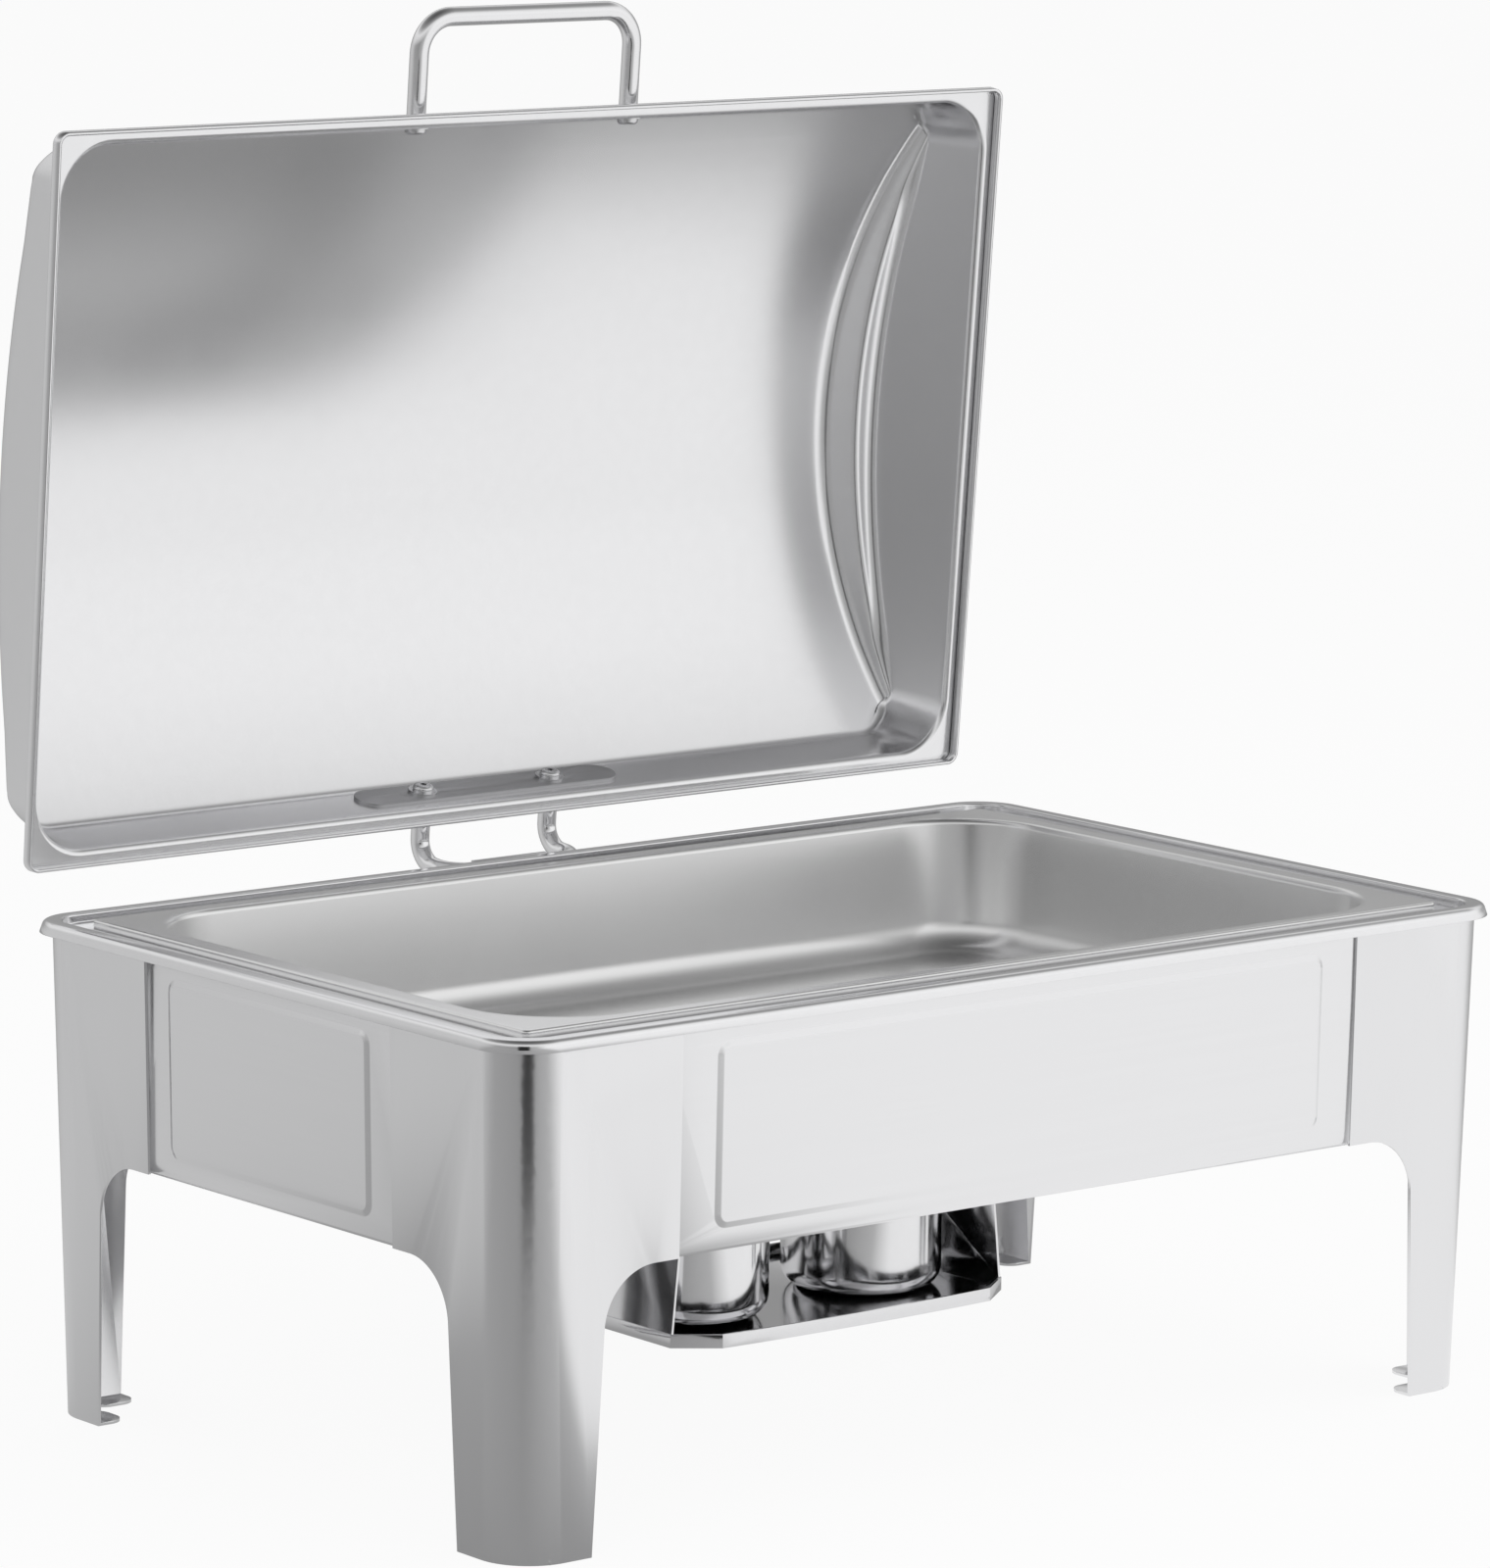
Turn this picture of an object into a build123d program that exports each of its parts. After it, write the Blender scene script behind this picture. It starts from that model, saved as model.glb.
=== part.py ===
from build123d import *
from math import cos, radians, sin, tan
import os

# Full-size chafing dish: a folded sheet stand, a water pan with a rolled rim, a
# gastronorm food pan, a deep-drawn hood that swings on a rear rod, and a hung tray
# with two fuel cups. All sizes are in millimetres. +Z is up, +X runs along the
# dish and -Y is the guest's side. The origin is on the table, under the middle of
# the whole dish with its hood open.

# --- Driving dimensions -------------------------------------------------------

STAND_Y = -38.1  # the stand's middle, as the open hood reaches further back
STAND_TOP = 227.65  # top edge of the legs and skirts, which carries the rim

LEG_SHEET = 1.4
LEG_FOOT_X, LEG_FOOT_Y = 279.9, 178.2  # half the stand's outline at the table
LEAN = 0.0194  # how much wider each face stands per millimetre of height
STAND_CORNER = 25.0
SEAM_X, SEAM_Y = 195.7, 92.2  # where a leg's two arms end
ARM_LOW = 124.7  # underside of the arms and skirts
LEG_INNER_X = (239.9, 234.2)  # a leg's inner edge at the table and at the arm
LEG_INNER_Y = (136.0, 130.3)
ARCH_R = 27.0  # the rounded inner corner between leg and arm
TONGUE_WIDTH, TONGUE_REACH, TONGUE_R = 22.0, 14.0, 8.0

SKIRT_SHEET = 1.0
SKIRT_LAP = 12.0  # how far a skirt runs on behind the leg's arm
SKIRT_FLANGE, SKIRT_BEND = 11.0, 1.8  # its bottom edge, turned in round a bend
BOSS_RISE, BOSS_BAND, BOSS_R = 1.2, 2.8, 6.5  # the raised panel's height, slope, corner
BOSS_LOW, BOSS_HIGH = 134.5, 216.8
BOSS_X, BOSS_Y = 176.0, 75.7

PAN_SHEET = 0.8
RIM_X, RIM_Y = 289.1, 186.0  # half the rim's outline at the lip's lower edge
RIM_TOP, LIP_DROP, LIP_FLARE = 228.5, 5.3, 1.8
RIM_EDGE_R, RECESS_EDGE_R = 2.6, 1.2
RECESS_X, RECESS_Y, RECESS_R = 279.1, 176.6, 17.0  # step down inside the flat border
LEDGE_Z = 224.2  # the gutter that seats the food pan and the hood's lip
WELL_X, WELL_Y, WELL_R = 258.0, 156.5, 52.0
WELL_FLOOR_Z = 142.8
WELL_DRAFT, WELL_FLOOR_R, WELL_MOUTH_R = 5.0, 16.0, 2.0

GN_X, GN_Y, GN_DEPTH = 265.0, 162.5, 65.0  # gastronorm 1/1: 530 x 325, 65 deep
GN_CORNER, GN_MOUTH_R = 3.0, 3.0
GN_WELL_X, GN_WELL_Y, GN_WELL_R = 252.0, 152.6, 47.0
GN_DRAFT, GN_FLOOR_R = 5.0, 16.0

HINGE_Y, HINGE_Z = 193.6, 221.7  # the rear rod's crossbar, from the stand's middle
HOOD_OPEN = 85.35  # degrees that the hood stands open
HOOD_SEAT_Z = 229.8  # the flange's plane with the hood shut
HOOD_X, HOOD_Y = 277.35, 170.15  # half the flange's outline
HOOD_CORNER = 6.0
HOOD_SHEET = 0.8
HOOD_LIP, HOOD_HEM = 5.0, 2.0  # the lip's depth and its hemmed thickness
MOUTH_INSET, MOUTH_CORNER, MOUTH_R = 7.0, 26.0, 3.3
LONG_DRAFT, END_DRAFT = 7.0, 10.0
SPRING = 30.0  # the depth at which both arches leave the long walls
SHOULDER, CROWN = 58.0, 75.0  # depth of the lower and upper arch at the middle
STEP_FOOT, STEP_SLOPE = 27.0, 28.6  # the crown's end wall: inset at the shoulder, slope
CROWN_R, FADE = 8.0, 4.0  # crown edge radius, and the step left at the long walls

ROD_R = 4.5
FIX_DEPTH = 19.0  # both rods meet the hood's walls at this depth
HANDLE_X, HANDLE_REACH, HANDLE_BEND = 62.5, 41.7, 17.0
HINGE_X, HINGE_BEND = 38.0, 12.0
BACKING_LENGTH, BACKING_WIDTH, BACKING_SHEET = 152.0, 20.0, 1.5

SCREW_R, SCREW_HEAD_R, SCREW_HEAD_H, SCREW_LENGTH = 2.5, 5.0, 2.8, 12.0
SCREW_SOCKET, SCREW_SOCKET_DEPTH = 1.6, 1.6
WASHER_R, WASHER_H = 7.0, 1.0
BORE_GAP = 0.06
SEAT_GAP = 0.02  # between two leaning sheets that lie face to face

TRAY_SHEET = 1.2
TRAY_LOW = 46.6  # underside
TRAY_X, TRAY_SIDE_Y = 98.0, 51.5
TRAY_NOSE_X, TRAY_NOSE_Y, TRAY_BOW_Y = 79.0, 65.6, 68.0
TRAY_LIP = 5.0
TRAY_LEAN = 5.8  # degrees that each side plate leans in
TRAY_ARM_HIGH, TRAY_ARM_Y = 138.0, 177.0

CUP_X, CUP_Y = 51.5, -5.0
CUP_R, CUP_HEIGHT, CUP_SHEET, CUP_EDGE_R = 37.5, 48.0, 0.8, 10.0
COVER_DROP, COVER_SHEET, FLAME_R = 7.0, 1.0, 17.0
DAMPER_R, DAMPER_ARM, DAMPER_SHEET, DAMPER_GAP = 19.5, 29.0, 1.0, 0.1
DAMPER_EYE_R, DAMPER_TAB_W, DAMPER_TAB_H = 5.0, 10.0, 7.0
RIVET_R, RIVET_HEAD_R, RIVET_HEAD_H = 2.0, 3.6, 1.4

BRACKET_SHEET = 2.0
BRACKET_LOW, BRACKET_SHELF_Z = 172.0, HINGE_Z - ROD_R - 0.05
BRACKET_WIDTH, CRADLE_WIDTH = 96.0, 44.0
CRADLE_RISE = 4.0
STOP_X, STOP_WIDTH, STOP_REACH, STOP_Z = 39.5, 14.0, 212.0, 217.3
BRACKET_RIVETS_X, BRACKET_RIVETS_Z = (-36.0, 36.0), (181.0, 200.0)

# --- Reference frames -----------------------------------------------------------

# The stand's own axes, and the hood's: the hood's frame is its flange's middle, with
# +Y towards the hinge and +Z into the hood, swung open about the rear rod.
STAND = Plane((0, STAND_Y, 0))
HOOD = Plane(
    Location((0, STAND_Y + HINGE_Y, HINGE_Z), (-HOOD_OPEN, 0, 0))
    * Location((0, -HINGE_Y, HOOD_SEAT_Z - HINGE_Z))
)


def on(frame, local):
    """Return the plane that lies at local in the frame's own axes."""
    return Plane(frame.location * local.location)


def turned(frame, angle):
    """Return the frame turned by an angle in degrees about its own Z."""
    return Plane(frame.location * Location((0, 0, 0), (0, 0, angle)))


def save(solid, name):
    """Label a finished piece and write it as its own STEP file."""
    solid.label = name
    export_step(solid, f"parts/{name}.step")


def tapered(frame, low, high, mode=Mode.ADD):
    """Loft between two rounded rectangles, each (height, half_x, half_y, corner)."""
    ends = []
    for height, half_x, half_y, corner in (low, high):
        with BuildSketch(on(frame, Plane.XY.offset(height))) as end:
            RectangleRounded(2 * half_x, 2 * half_y, corner)
        ends.append(end.sketch)
    loft(ends, mode=mode)


def soften_mouth(piece, frame, bends):
    """Round a well's mouth: {which flat, counted from the highest: bend radius}."""
    along = Axis(frame.origin, frame.z_dir)
    for rank, radius in bends.items():
        flat = piece.faces().filter_by(frame).sort_by(along)[-rank]
        fillet(flat.inner_wires()[0].edges(), radius)


os.makedirs("parts", exist_ok=True)


# --- Stand: four corner legs ------------------------------------------------------


def stand_section(height, inset):
    """Return the stand's outline at a height, moved in by inset."""
    grow = LEAN * height - inset
    return (height, LEG_FOOT_X + grow, LEG_FOOT_Y + grow, STAND_CORNER - inset)


def leg_elevation(seam, inner, outer):
    """Draw one arm of a leg as seen square on: arm, rounded corner and tapering leg."""
    with BuildLine() as edge:
        Polyline(
            (seam, STAND_TOP),
            (outer, STAND_TOP),
            (outer, 0),
            (inner[0], 0),
            (inner[1], ARM_LOW),
            (seam, ARM_LOW),
            close=True,
        )
    outline = make_face(edge.edges())
    corner = outline.vertices().sort_by_distance((inner[1], ARM_LOW))[0]
    fillet(corner, ARCH_R)


with BuildPart() as stand_wall:
    tapered(STAND, stand_section(0, 0), stand_section(STAND_TOP, 0))
    tapered(
        STAND,
        stand_section(0, LEG_SHEET),
        stand_section(STAND_TOP, LEG_SHEET),
        mode=Mode.SUBTRACT,
    )

# The rear right leg: both elevations are kept out of the leaning wall, and the two
# turned-in tongues it stands on are added at the table.
with BuildPart() as leg:
    with BuildSketch(on(STAND, Plane.XZ.offset(STAND_CORNER - LEG_FOOT_Y))):
        leg_elevation(SEAM_X, LEG_INNER_X, RIM_X)
    extrude(amount=-2 * STAND_CORNER)
    with BuildSketch(on(STAND, Plane.YZ.offset(LEG_FOOT_X - STAND_CORNER))):
        leg_elevation(SEAM_Y, LEG_INNER_Y, LEG_FOOT_Y - STAND_CORNER)
    extrude(amount=2 * STAND_CORNER)
    add(stand_wall.part, mode=Mode.INTERSECT)
    long_root = (LEG_INNER_X[0] + TONGUE_WIDTH / 2, LEG_FOOT_Y - LEG_SHEET)
    end_root = (LEG_FOOT_X - LEG_SHEET, LEG_INNER_Y[0] + TONGUE_WIDTH / 2)
    with BuildSketch(STAND) as tongues:
        with Locations(long_root):
            RectangleRounded(TONGUE_WIDTH, 2 * TONGUE_REACH, TONGUE_R)
        with Locations(end_root):
            RectangleRounded(2 * TONGUE_REACH, TONGUE_WIDTH, TONGUE_R)
        Rectangle(
            2 * (LEG_FOOT_X - LEG_SHEET / 2),
            2 * (LEG_FOOT_Y - LEG_SHEET / 2),
            mode=Mode.INTERSECT,
        )
    extrude(amount=LEG_SHEET)

long_mirror = on(STAND, Plane.XZ)
end_mirror = on(STAND, Plane.YZ)
save(leg.part, "leg_rear_right")
for name, planes in {
    "leg_front_right": (long_mirror,),
    "leg_rear_left": (end_mirror,),
    "leg_front_left": (long_mirror, end_mirror),
}.items():
    copy = leg.part
    for plane in planes:
        copy = mirror(copy, about=plane)
    save(copy, name)


# --- Stand: four pressed skirts ---------------------------------------------------


def skirt_face(foot_half, height):
    """Return the plane on a skirt's outer face, at a height, seen from outside."""
    away = foot_half - LEG_SHEET + LEAN * height
    return Plane((0, -away, height), x_dir=(1, 0, 0), z_dir=(0, -1, -LEAN))


def boss(plane, half_x, mode):
    """Add or cut the raised panel's form: a rounded rectangle with sloping sides."""
    half_z = (BOSS_HIGH - BOSS_LOW) / 2
    foot = (0, half_x, half_z, BOSS_R)
    face = (BOSS_RISE, half_x - BOSS_BAND, half_z - BOSS_BAND, BOSS_R - BOSS_BAND)
    tapered(plane, foot, face, mode=mode)


def skirt(angle, foot_half, seam, boss_half):
    """Return one pressed skirt: leaning sheet, turned-in bottom edge and raised panel."""
    side = turned(STAND, angle)
    low = LEG_SHEET - foot_half - LEAN * ARM_LOW
    high = LEG_SHEET - foot_half - LEAN * STAND_TOP
    with BuildPart() as sheet:
        with BuildSketch(on(side, Plane.YZ)):
            with BuildLine():
                Polyline(
                    (low, ARM_LOW),
                    (high, STAND_TOP),
                    (high + SKIRT_SHEET, STAND_TOP),
                    (low + SKIRT_SHEET - LEAN * SKIRT_SHEET, ARM_LOW + SKIRT_SHEET),
                    (low + SKIRT_FLANGE, ARM_LOW + SKIRT_SHEET),
                    (low + SKIRT_FLANGE, ARM_LOW),
                    close=True,
                )
            section = make_face()
            for off, radius in ((0, SKIRT_BEND), (SKIRT_SHEET, SKIRT_BEND - SKIRT_SHEET)):
                corner = (low + off, ARM_LOW + off)
                fillet(section.vertices().sort_by_distance(corner)[0], radius)
        extrude(amount=seam + SKIRT_LAP, both=True)
        panel = on(side, skirt_face(foot_half, (BOSS_LOW + BOSS_HIGH) / 2))
        boss(panel, boss_half, Mode.ADD)
        boss(panel.offset(-SKIRT_SHEET - SEAT_GAP), boss_half, Mode.SUBTRACT)
    return sheet.part


save(skirt(0, LEG_FOOT_Y, SEAM_X, BOSS_X), "skirt_front")
save(skirt(90, LEG_FOOT_X, SEAM_Y, BOSS_Y), "skirt_right")
save(skirt(-90, LEG_FOOT_X, SEAM_Y, BOSS_Y), "skirt_left")

rear_skirt = skirt(180, LEG_FOOT_Y, SEAM_X, BOSS_X)
rear = turned(STAND, 180)
rear_panel = on(rear, skirt_face(LEG_FOOT_Y, 0)).offset(BOSS_RISE)


def bracket_rivet_spots(lift):
    """Return the planes of the bracket's four rivets, lifted off the raised panel."""
    return [
        Plane(rear_panel.offset(lift).location * Location((x, z, 0)))
        for x in BRACKET_RIVETS_X
        for z in BRACKET_RIVETS_Z
    ]


with BuildPart() as skirt_rear:
    add(rear_skirt)
    for spot in bracket_rivet_spots(0):
        with BuildSketch(spot):
            Circle(RIVET_R + BORE_GAP)
        extrude(amount=2 * SKIRT_SHEET, both=True, mode=Mode.SUBTRACT)
save(skirt_rear.part, "skirt_rear")


# --- Hinge bracket on the rear skirt ------------------------------------------------

# Seen from the end, the sheet climbs the raised panel, turns out into a shelf under
# the rod and curls up behind it. Wings of the same shelf stop the rod's two arms.
panel_y = LEG_FOOT_Y - LEG_SHEET + BOSS_RISE
middle = BRACKET_SHEET / 2 + SEAT_GAP
shelf_z = BRACKET_SHELF_Z - middle
cradle_r = HINGE_Z - shelf_z
stop_z = STOP_Z - middle


def bracket_foot(height):
    """Return the middle of the bracket's sheet where it lies on the panel."""
    return (panel_y + LEAN * height + middle, height)


with BuildPart() as hinge_bracket:
    with BuildSketch(on(STAND, Plane.YZ)):
        with BuildLine() as foot_line:
            FilletPolyline(
                bracket_foot(BRACKET_LOW),
                bracket_foot(shelf_z),
                (HINGE_Y, shelf_z),
                radius=BRACKET_SHEET,
            )
        with BuildLine() as curl_line:
            curl = CenterArc((HINGE_Y, HINGE_Z), cradle_r, 270, 90)
            Line(curl @ 1, (HINGE_Y + cradle_r, HINGE_Z + CRADLE_RISE))
        trace(foot_line.line, BRACKET_SHEET)
        trace(curl_line.line, BRACKET_SHEET)
    extrude(amount=CRADLE_WIDTH / 2, both=True)
    with BuildSketch(on(STAND, Plane.YZ)):
        with BuildLine() as base_line:
            Line(bracket_foot(BRACKET_LOW), bracket_foot(stop_z))
        trace(base_line.line, BRACKET_SHEET)
    extrude(amount=BRACKET_WIDTH / 2, both=True)
    for x in (-STOP_X, STOP_X):
        with BuildSketch(on(STAND, Plane.YZ.offset(x))):
            with BuildLine() as stop_line:
                FilletPolyline(
                    bracket_foot(BRACKET_LOW),
                    bracket_foot(stop_z),
                    (STOP_REACH, stop_z),
                    radius=BRACKET_SHEET,
                )
            trace(stop_line.line, BRACKET_SHEET)
        extrude(amount=STOP_WIDTH / 2, both=True)
    for spot in bracket_rivet_spots(0):
        with BuildSketch(spot):
            Circle(RIVET_R + BORE_GAP)
        extrude(amount=3 * BRACKET_SHEET, both=True, mode=Mode.SUBTRACT)
save(hinge_bracket.part, "hinge_bracket")

with BuildPart() as hinge_rivets:
    grip = BRACKET_SHEET + SKIRT_SHEET + 5 * SEAT_GAP
    for spot in bracket_rivet_spots(BRACKET_SHEET + 2 * SEAT_GAP):
        with BuildSketch(spot):
            Circle(RIVET_HEAD_R)
        extrude(amount=RIVET_HEAD_H)
        with BuildSketch(spot.offset(-grip)):
            Circle(RIVET_R)
        extrude(amount=grip)
        with BuildSketch(spot.offset(-grip)):
            Circle(RIVET_HEAD_R)
        extrude(amount=-RIVET_HEAD_H)
save(hinge_rivets.part, "hinge_rivets")


# --- Water pan: rolled rim, flat border, gutter and well --------------------------------


def basin(mouth, depth, draft, floor_r):
    """Return a filled basin under its mouth (height, half_x, half_y, corner)."""
    height, half_x, half_y, corner = mouth
    draw_in = depth * tan(radians(draft))
    floor = (height - depth, half_x - draw_in, half_y - draw_in, corner - draw_in)
    with BuildPart() as form:
        tapered(STAND, floor, mouth)
        fillet(form.faces().sort_by(Axis.Z)[0].edges(), floor_r)
    return form.part


def rim_form(skin):
    """Return the rim's filled outer form, moved in by skin."""
    top = RIM_TOP - skin
    with BuildPart() as form:
        tapered(
            STAND,
            (RIM_TOP - LIP_DROP, RIM_X - skin, RIM_Y - skin, STAND_CORNER - skin),
            (
                top,
                RIM_X - LIP_FLARE - skin,
                RIM_Y - LIP_FLARE - skin,
                STAND_CORNER - LIP_FLARE - skin,
            ),
        )
        fillet(form.faces().sort_by(Axis.Z)[-1].edges(), RIM_EDGE_R - skin)
    return form.part


WELL_DEPTH = LEDGE_Z - WELL_FLOOR_Z
well_outer = basin(
    (LEDGE_Z, WELL_X + PAN_SHEET, WELL_Y + PAN_SHEET, WELL_R + PAN_SHEET),
    WELL_DEPTH + PAN_SHEET,
    WELL_DRAFT,
    WELL_FLOOR_R + PAN_SHEET,
)
well_inner = basin((LEDGE_Z, WELL_X, WELL_Y, WELL_R), WELL_DEPTH, WELL_DRAFT, WELL_FLOOR_R)
rim_outer, rim_inner = rim_form(0), rim_form(PAN_SHEET)

with BuildPart() as water_pan:
    add(rim_outer)
    add(rim_inner, mode=Mode.SUBTRACT)
    tapered(
        STAND,
        (LEDGE_Z - PAN_SHEET, RECESS_X + PAN_SHEET, RECESS_Y + PAN_SHEET, RECESS_R + PAN_SHEET),
        (RIM_TOP, RECESS_X + PAN_SHEET, RECESS_Y + PAN_SHEET, RECESS_R + PAN_SHEET),
    )
    tapered(
        STAND,
        (LEDGE_Z, RECESS_X, RECESS_Y, RECESS_R),
        (RIM_TOP, RECESS_X, RECESS_Y, RECESS_R),
        mode=Mode.SUBTRACT,
    )
    add(well_outer)
    add(well_inner, mode=Mode.SUBTRACT)
    soften_mouth(
        water_pan,
        STAND,
        {
            1: RECESS_EDGE_R,
            2: RECESS_EDGE_R - PAN_SHEET,
            3: WELL_MOUTH_R,
            4: WELL_MOUTH_R - PAN_SHEET,
        },
    )
save(water_pan.part, "water_pan")


# --- Food pan: gastronorm flange with a turned-down edge, and its well --------------------

food_outer = basin(
    (RIM_TOP, GN_WELL_X + PAN_SHEET, GN_WELL_Y + PAN_SHEET, GN_WELL_R + PAN_SHEET),
    GN_DEPTH,
    GN_DRAFT,
    GN_FLOOR_R + PAN_SHEET,
)
food_inner = basin(
    (RIM_TOP, GN_WELL_X, GN_WELL_Y, GN_WELL_R),
    GN_DEPTH - PAN_SHEET,
    GN_DRAFT,
    GN_FLOOR_R,
)

with BuildPart() as food_pan:
    tapered(
        STAND,
        (LEDGE_Z, GN_X, GN_Y, GN_CORNER),
        (RIM_TOP, GN_X, GN_Y, GN_CORNER),
    )
    fillet(food_pan.faces().sort_by(Axis.Z)[-1].edges(), PAN_SHEET * 1.5)
    tapered(
        STAND,
        (LEDGE_Z, GN_X - PAN_SHEET, GN_Y - PAN_SHEET, GN_CORNER - PAN_SHEET),
        (RIM_TOP - PAN_SHEET, GN_X - PAN_SHEET, GN_Y - PAN_SHEET, GN_CORNER - PAN_SHEET),
        mode=Mode.SUBTRACT,
    )
    add(food_outer)
    add(food_inner, mode=Mode.SUBTRACT)
    soften_mouth(food_pan, STAND, {1: GN_MOUTH_R, 2: GN_MOUTH_R - PAN_SHEET})
save(food_pan.part, "food_pan")


# --- Hood: drafted walls, a shouldered end step and an arched crown ------------------------


def hood_section(depth, long_inset, end_inset, skin):
    """Return the hood's rounded rectangle at a depth, its walls moved out by skin."""
    inset = min(long_inset, end_inset) - MOUTH_INSET
    half_x = HOOD_X - end_inset + skin
    half_y = HOOD_Y - long_inset + skin
    return (depth, half_x, half_y, MOUTH_CORNER - inset + skin)


def arch(spring, rise, skin):
    """Return the sketch of an arch across the hood, from its spring to its peak depth."""
    half = HOOD_Y - MOUTH_INSET - SPRING * tan(radians(LONG_DRAFT))
    sag = rise - spring
    radius = (half**2 + sag**2) / (2 * sag) + skin
    with BuildSketch(on(HOOD, Plane.YZ)) as under:
        with Locations((0, rise + skin - radius)):
            Circle(radius)
        Rectangle(2 * HOOD_Y, 4 * CROWN, mode=Mode.INTERSECT)
    return under.sketch


def crown_ends(skin):
    """Return the long section that slopes the crown's two ends down to the shoulder."""
    reach = 2 * CROWN
    slope = reach * tan(radians(STEP_SLOPE))
    at_shoulder = HOOD_X - STEP_FOOT + skin
    with BuildSketch(on(HOOD, Plane.XZ)) as ends:
        with BuildLine() as edge:
            Polyline(
                (-at_shoulder - slope, SHOULDER - reach),
                (slope - at_shoulder, SHOULDER + reach),
                (at_shoulder - slope, SHOULDER + reach),
                (at_shoulder + slope, SHOULDER - reach),
                close=True,
            )
        make_face(edge.edges())
    return ends.sketch


def hood_form(skin):
    """Return the hood's filled form with its faces moved out by skin."""
    with BuildPart() as roof:
        extrude(arch(SPRING, CROWN, skin), amount=HOOD_X, both=True)
        extrude(crown_ends(skin), amount=2 * HOOD_Y, both=True, mode=Mode.INTERSECT)
        rims = roof.edges().filter_by(GeomType.ELLIPSE)
        fillet(rims, CROWN_R + skin)
        extrude(arch(SPRING - FADE, SHOULDER, skin), amount=HOOD_X, both=True)
    top = CROWN + 2 * CROWN_R
    long_inset = MOUTH_INSET + top * tan(radians(LONG_DRAFT))
    end_inset = MOUTH_INSET + top * tan(radians(END_DRAFT))
    with BuildPart() as form:
        tapered(
            HOOD,
            hood_section(0, MOUTH_INSET, MOUTH_INSET, skin),
            hood_section(top, long_inset, end_inset, skin),
        )
        add(roof.part, mode=Mode.INTERSECT)
    return form.part


hood_outer, hood_inner = hood_form(HOOD_SHEET), hood_form(0)

with BuildPart() as lid_shell:
    tapered(
        HOOD,
        (-HOOD_LIP, HOOD_X, HOOD_Y, HOOD_CORNER),
        (HOOD_SHEET, HOOD_X, HOOD_Y, HOOD_CORNER),
    )
    tapered(
        HOOD,
        (-HOOD_LIP, HOOD_X - HOOD_HEM, HOOD_Y - HOOD_HEM, HOOD_CORNER - HOOD_HEM),
        (0, HOOD_X - HOOD_HEM, HOOD_Y - HOOD_HEM, HOOD_CORNER - HOOD_HEM),
        mode=Mode.SUBTRACT,
    )
    add(hood_outer)
    add(hood_inner, mode=Mode.SUBTRACT)
    soften_mouth(lid_shell, HOOD, {2: MOUTH_R, 1: MOUTH_R - HOOD_SHEET})


def hood_wall(x, side):
    """Return a plane on the long wall's inner face at fixing depth, facing inwards."""
    lean = radians(LONG_DRAFT)
    y = side * (HOOD_Y - MOUTH_INSET - FIX_DEPTH * tan(lean))
    facing = (0, -side * cos(lean), -sin(lean))
    return on(HOOD, Plane((x, y, FIX_DEPTH), x_dir=(side, 0, 0), z_dir=facing))


# The walls are drilled for the screws that hold the rods from inside.
handle_walls = [hood_wall(x, -1) for x in (-HANDLE_X, HANDLE_X)]
hinge_walls = [hood_wall(x, 1) for x in (-HINGE_X, HINGE_X)]


def bore(planes, radius, depth):
    """Cut a round hole through or into the part at each plane, both ways."""
    for plane in planes:
        with BuildSketch(plane) as hole:
            Circle(radius)
        extrude(hole.sketch, amount=depth, both=True, mode=Mode.SUBTRACT)


with BuildPart() as drilled_lid:
    add(lid_shell.part)
    bore(handle_walls + hinge_walls, SCREW_R + BORE_GAP, 2 * HOOD_SHEET)
save(drilled_lid.part, "lid_shell")


# --- Round bars: front handle and rear hinge rod ------------------------------------------


def bar(points, bend, walls):
    """Return a bent round bar whose two ends stand on the hood's walls, tapped."""
    with BuildPart() as rod:
        with BuildLine() as route:
            FilletPolyline(*points, radius=bend)
        start = Plane(origin=points[0], z_dir=points[1] - points[0])
        with BuildSketch(start) as section:
            Circle(ROD_R)
        sweep(section.sketch, path=route.line)
        for wall in walls:
            split(bisect_by=wall.offset(-HOOD_SHEET), keep=Keep.BOTTOM)
        bore(walls, SCREW_R + BORE_GAP, SCREW_LENGTH)
    return rod.part


def hood_point(x, y, z):
    """Return a point given in the hood's frame as one in the dish's frame."""
    return HOOD.from_local_coords(Vector(x, y, z))


wall_y = HOOD_Y - MOUTH_INSET - FIX_DEPTH * tan(radians(LONG_DRAFT))
bar_y = -HOOD_Y - HANDLE_REACH
handle_route = [
    hood_point(-HANDLE_X, ROD_R - wall_y, FIX_DEPTH),
    hood_point(-HANDLE_X, bar_y, FIX_DEPTH),
    hood_point(HANDLE_X, bar_y, FIX_DEPTH),
    hood_point(HANDLE_X, ROD_R - wall_y, FIX_DEPTH),
]
save(bar(handle_route, HANDLE_BEND, handle_walls), "front_handle")

axis_z = HINGE_Z - HOOD_SEAT_Z
hinge_route = [
    hood_point(-HINGE_X, wall_y - ROD_R, FIX_DEPTH),
    hood_point(-HINGE_X, HINGE_Y, FIX_DEPTH),
    hood_point(-HINGE_X, HINGE_Y, axis_z),
    hood_point(HINGE_X, HINGE_Y, axis_z),
    hood_point(HINGE_X, HINGE_Y, FIX_DEPTH),
    hood_point(HINGE_X, wall_y - ROD_R, FIX_DEPTH),
]
save(bar(hinge_route, HINGE_BEND, hinge_walls), "hinge_rod")


# --- Screws, washers and the backing plate ---------------------------------------------------


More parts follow.
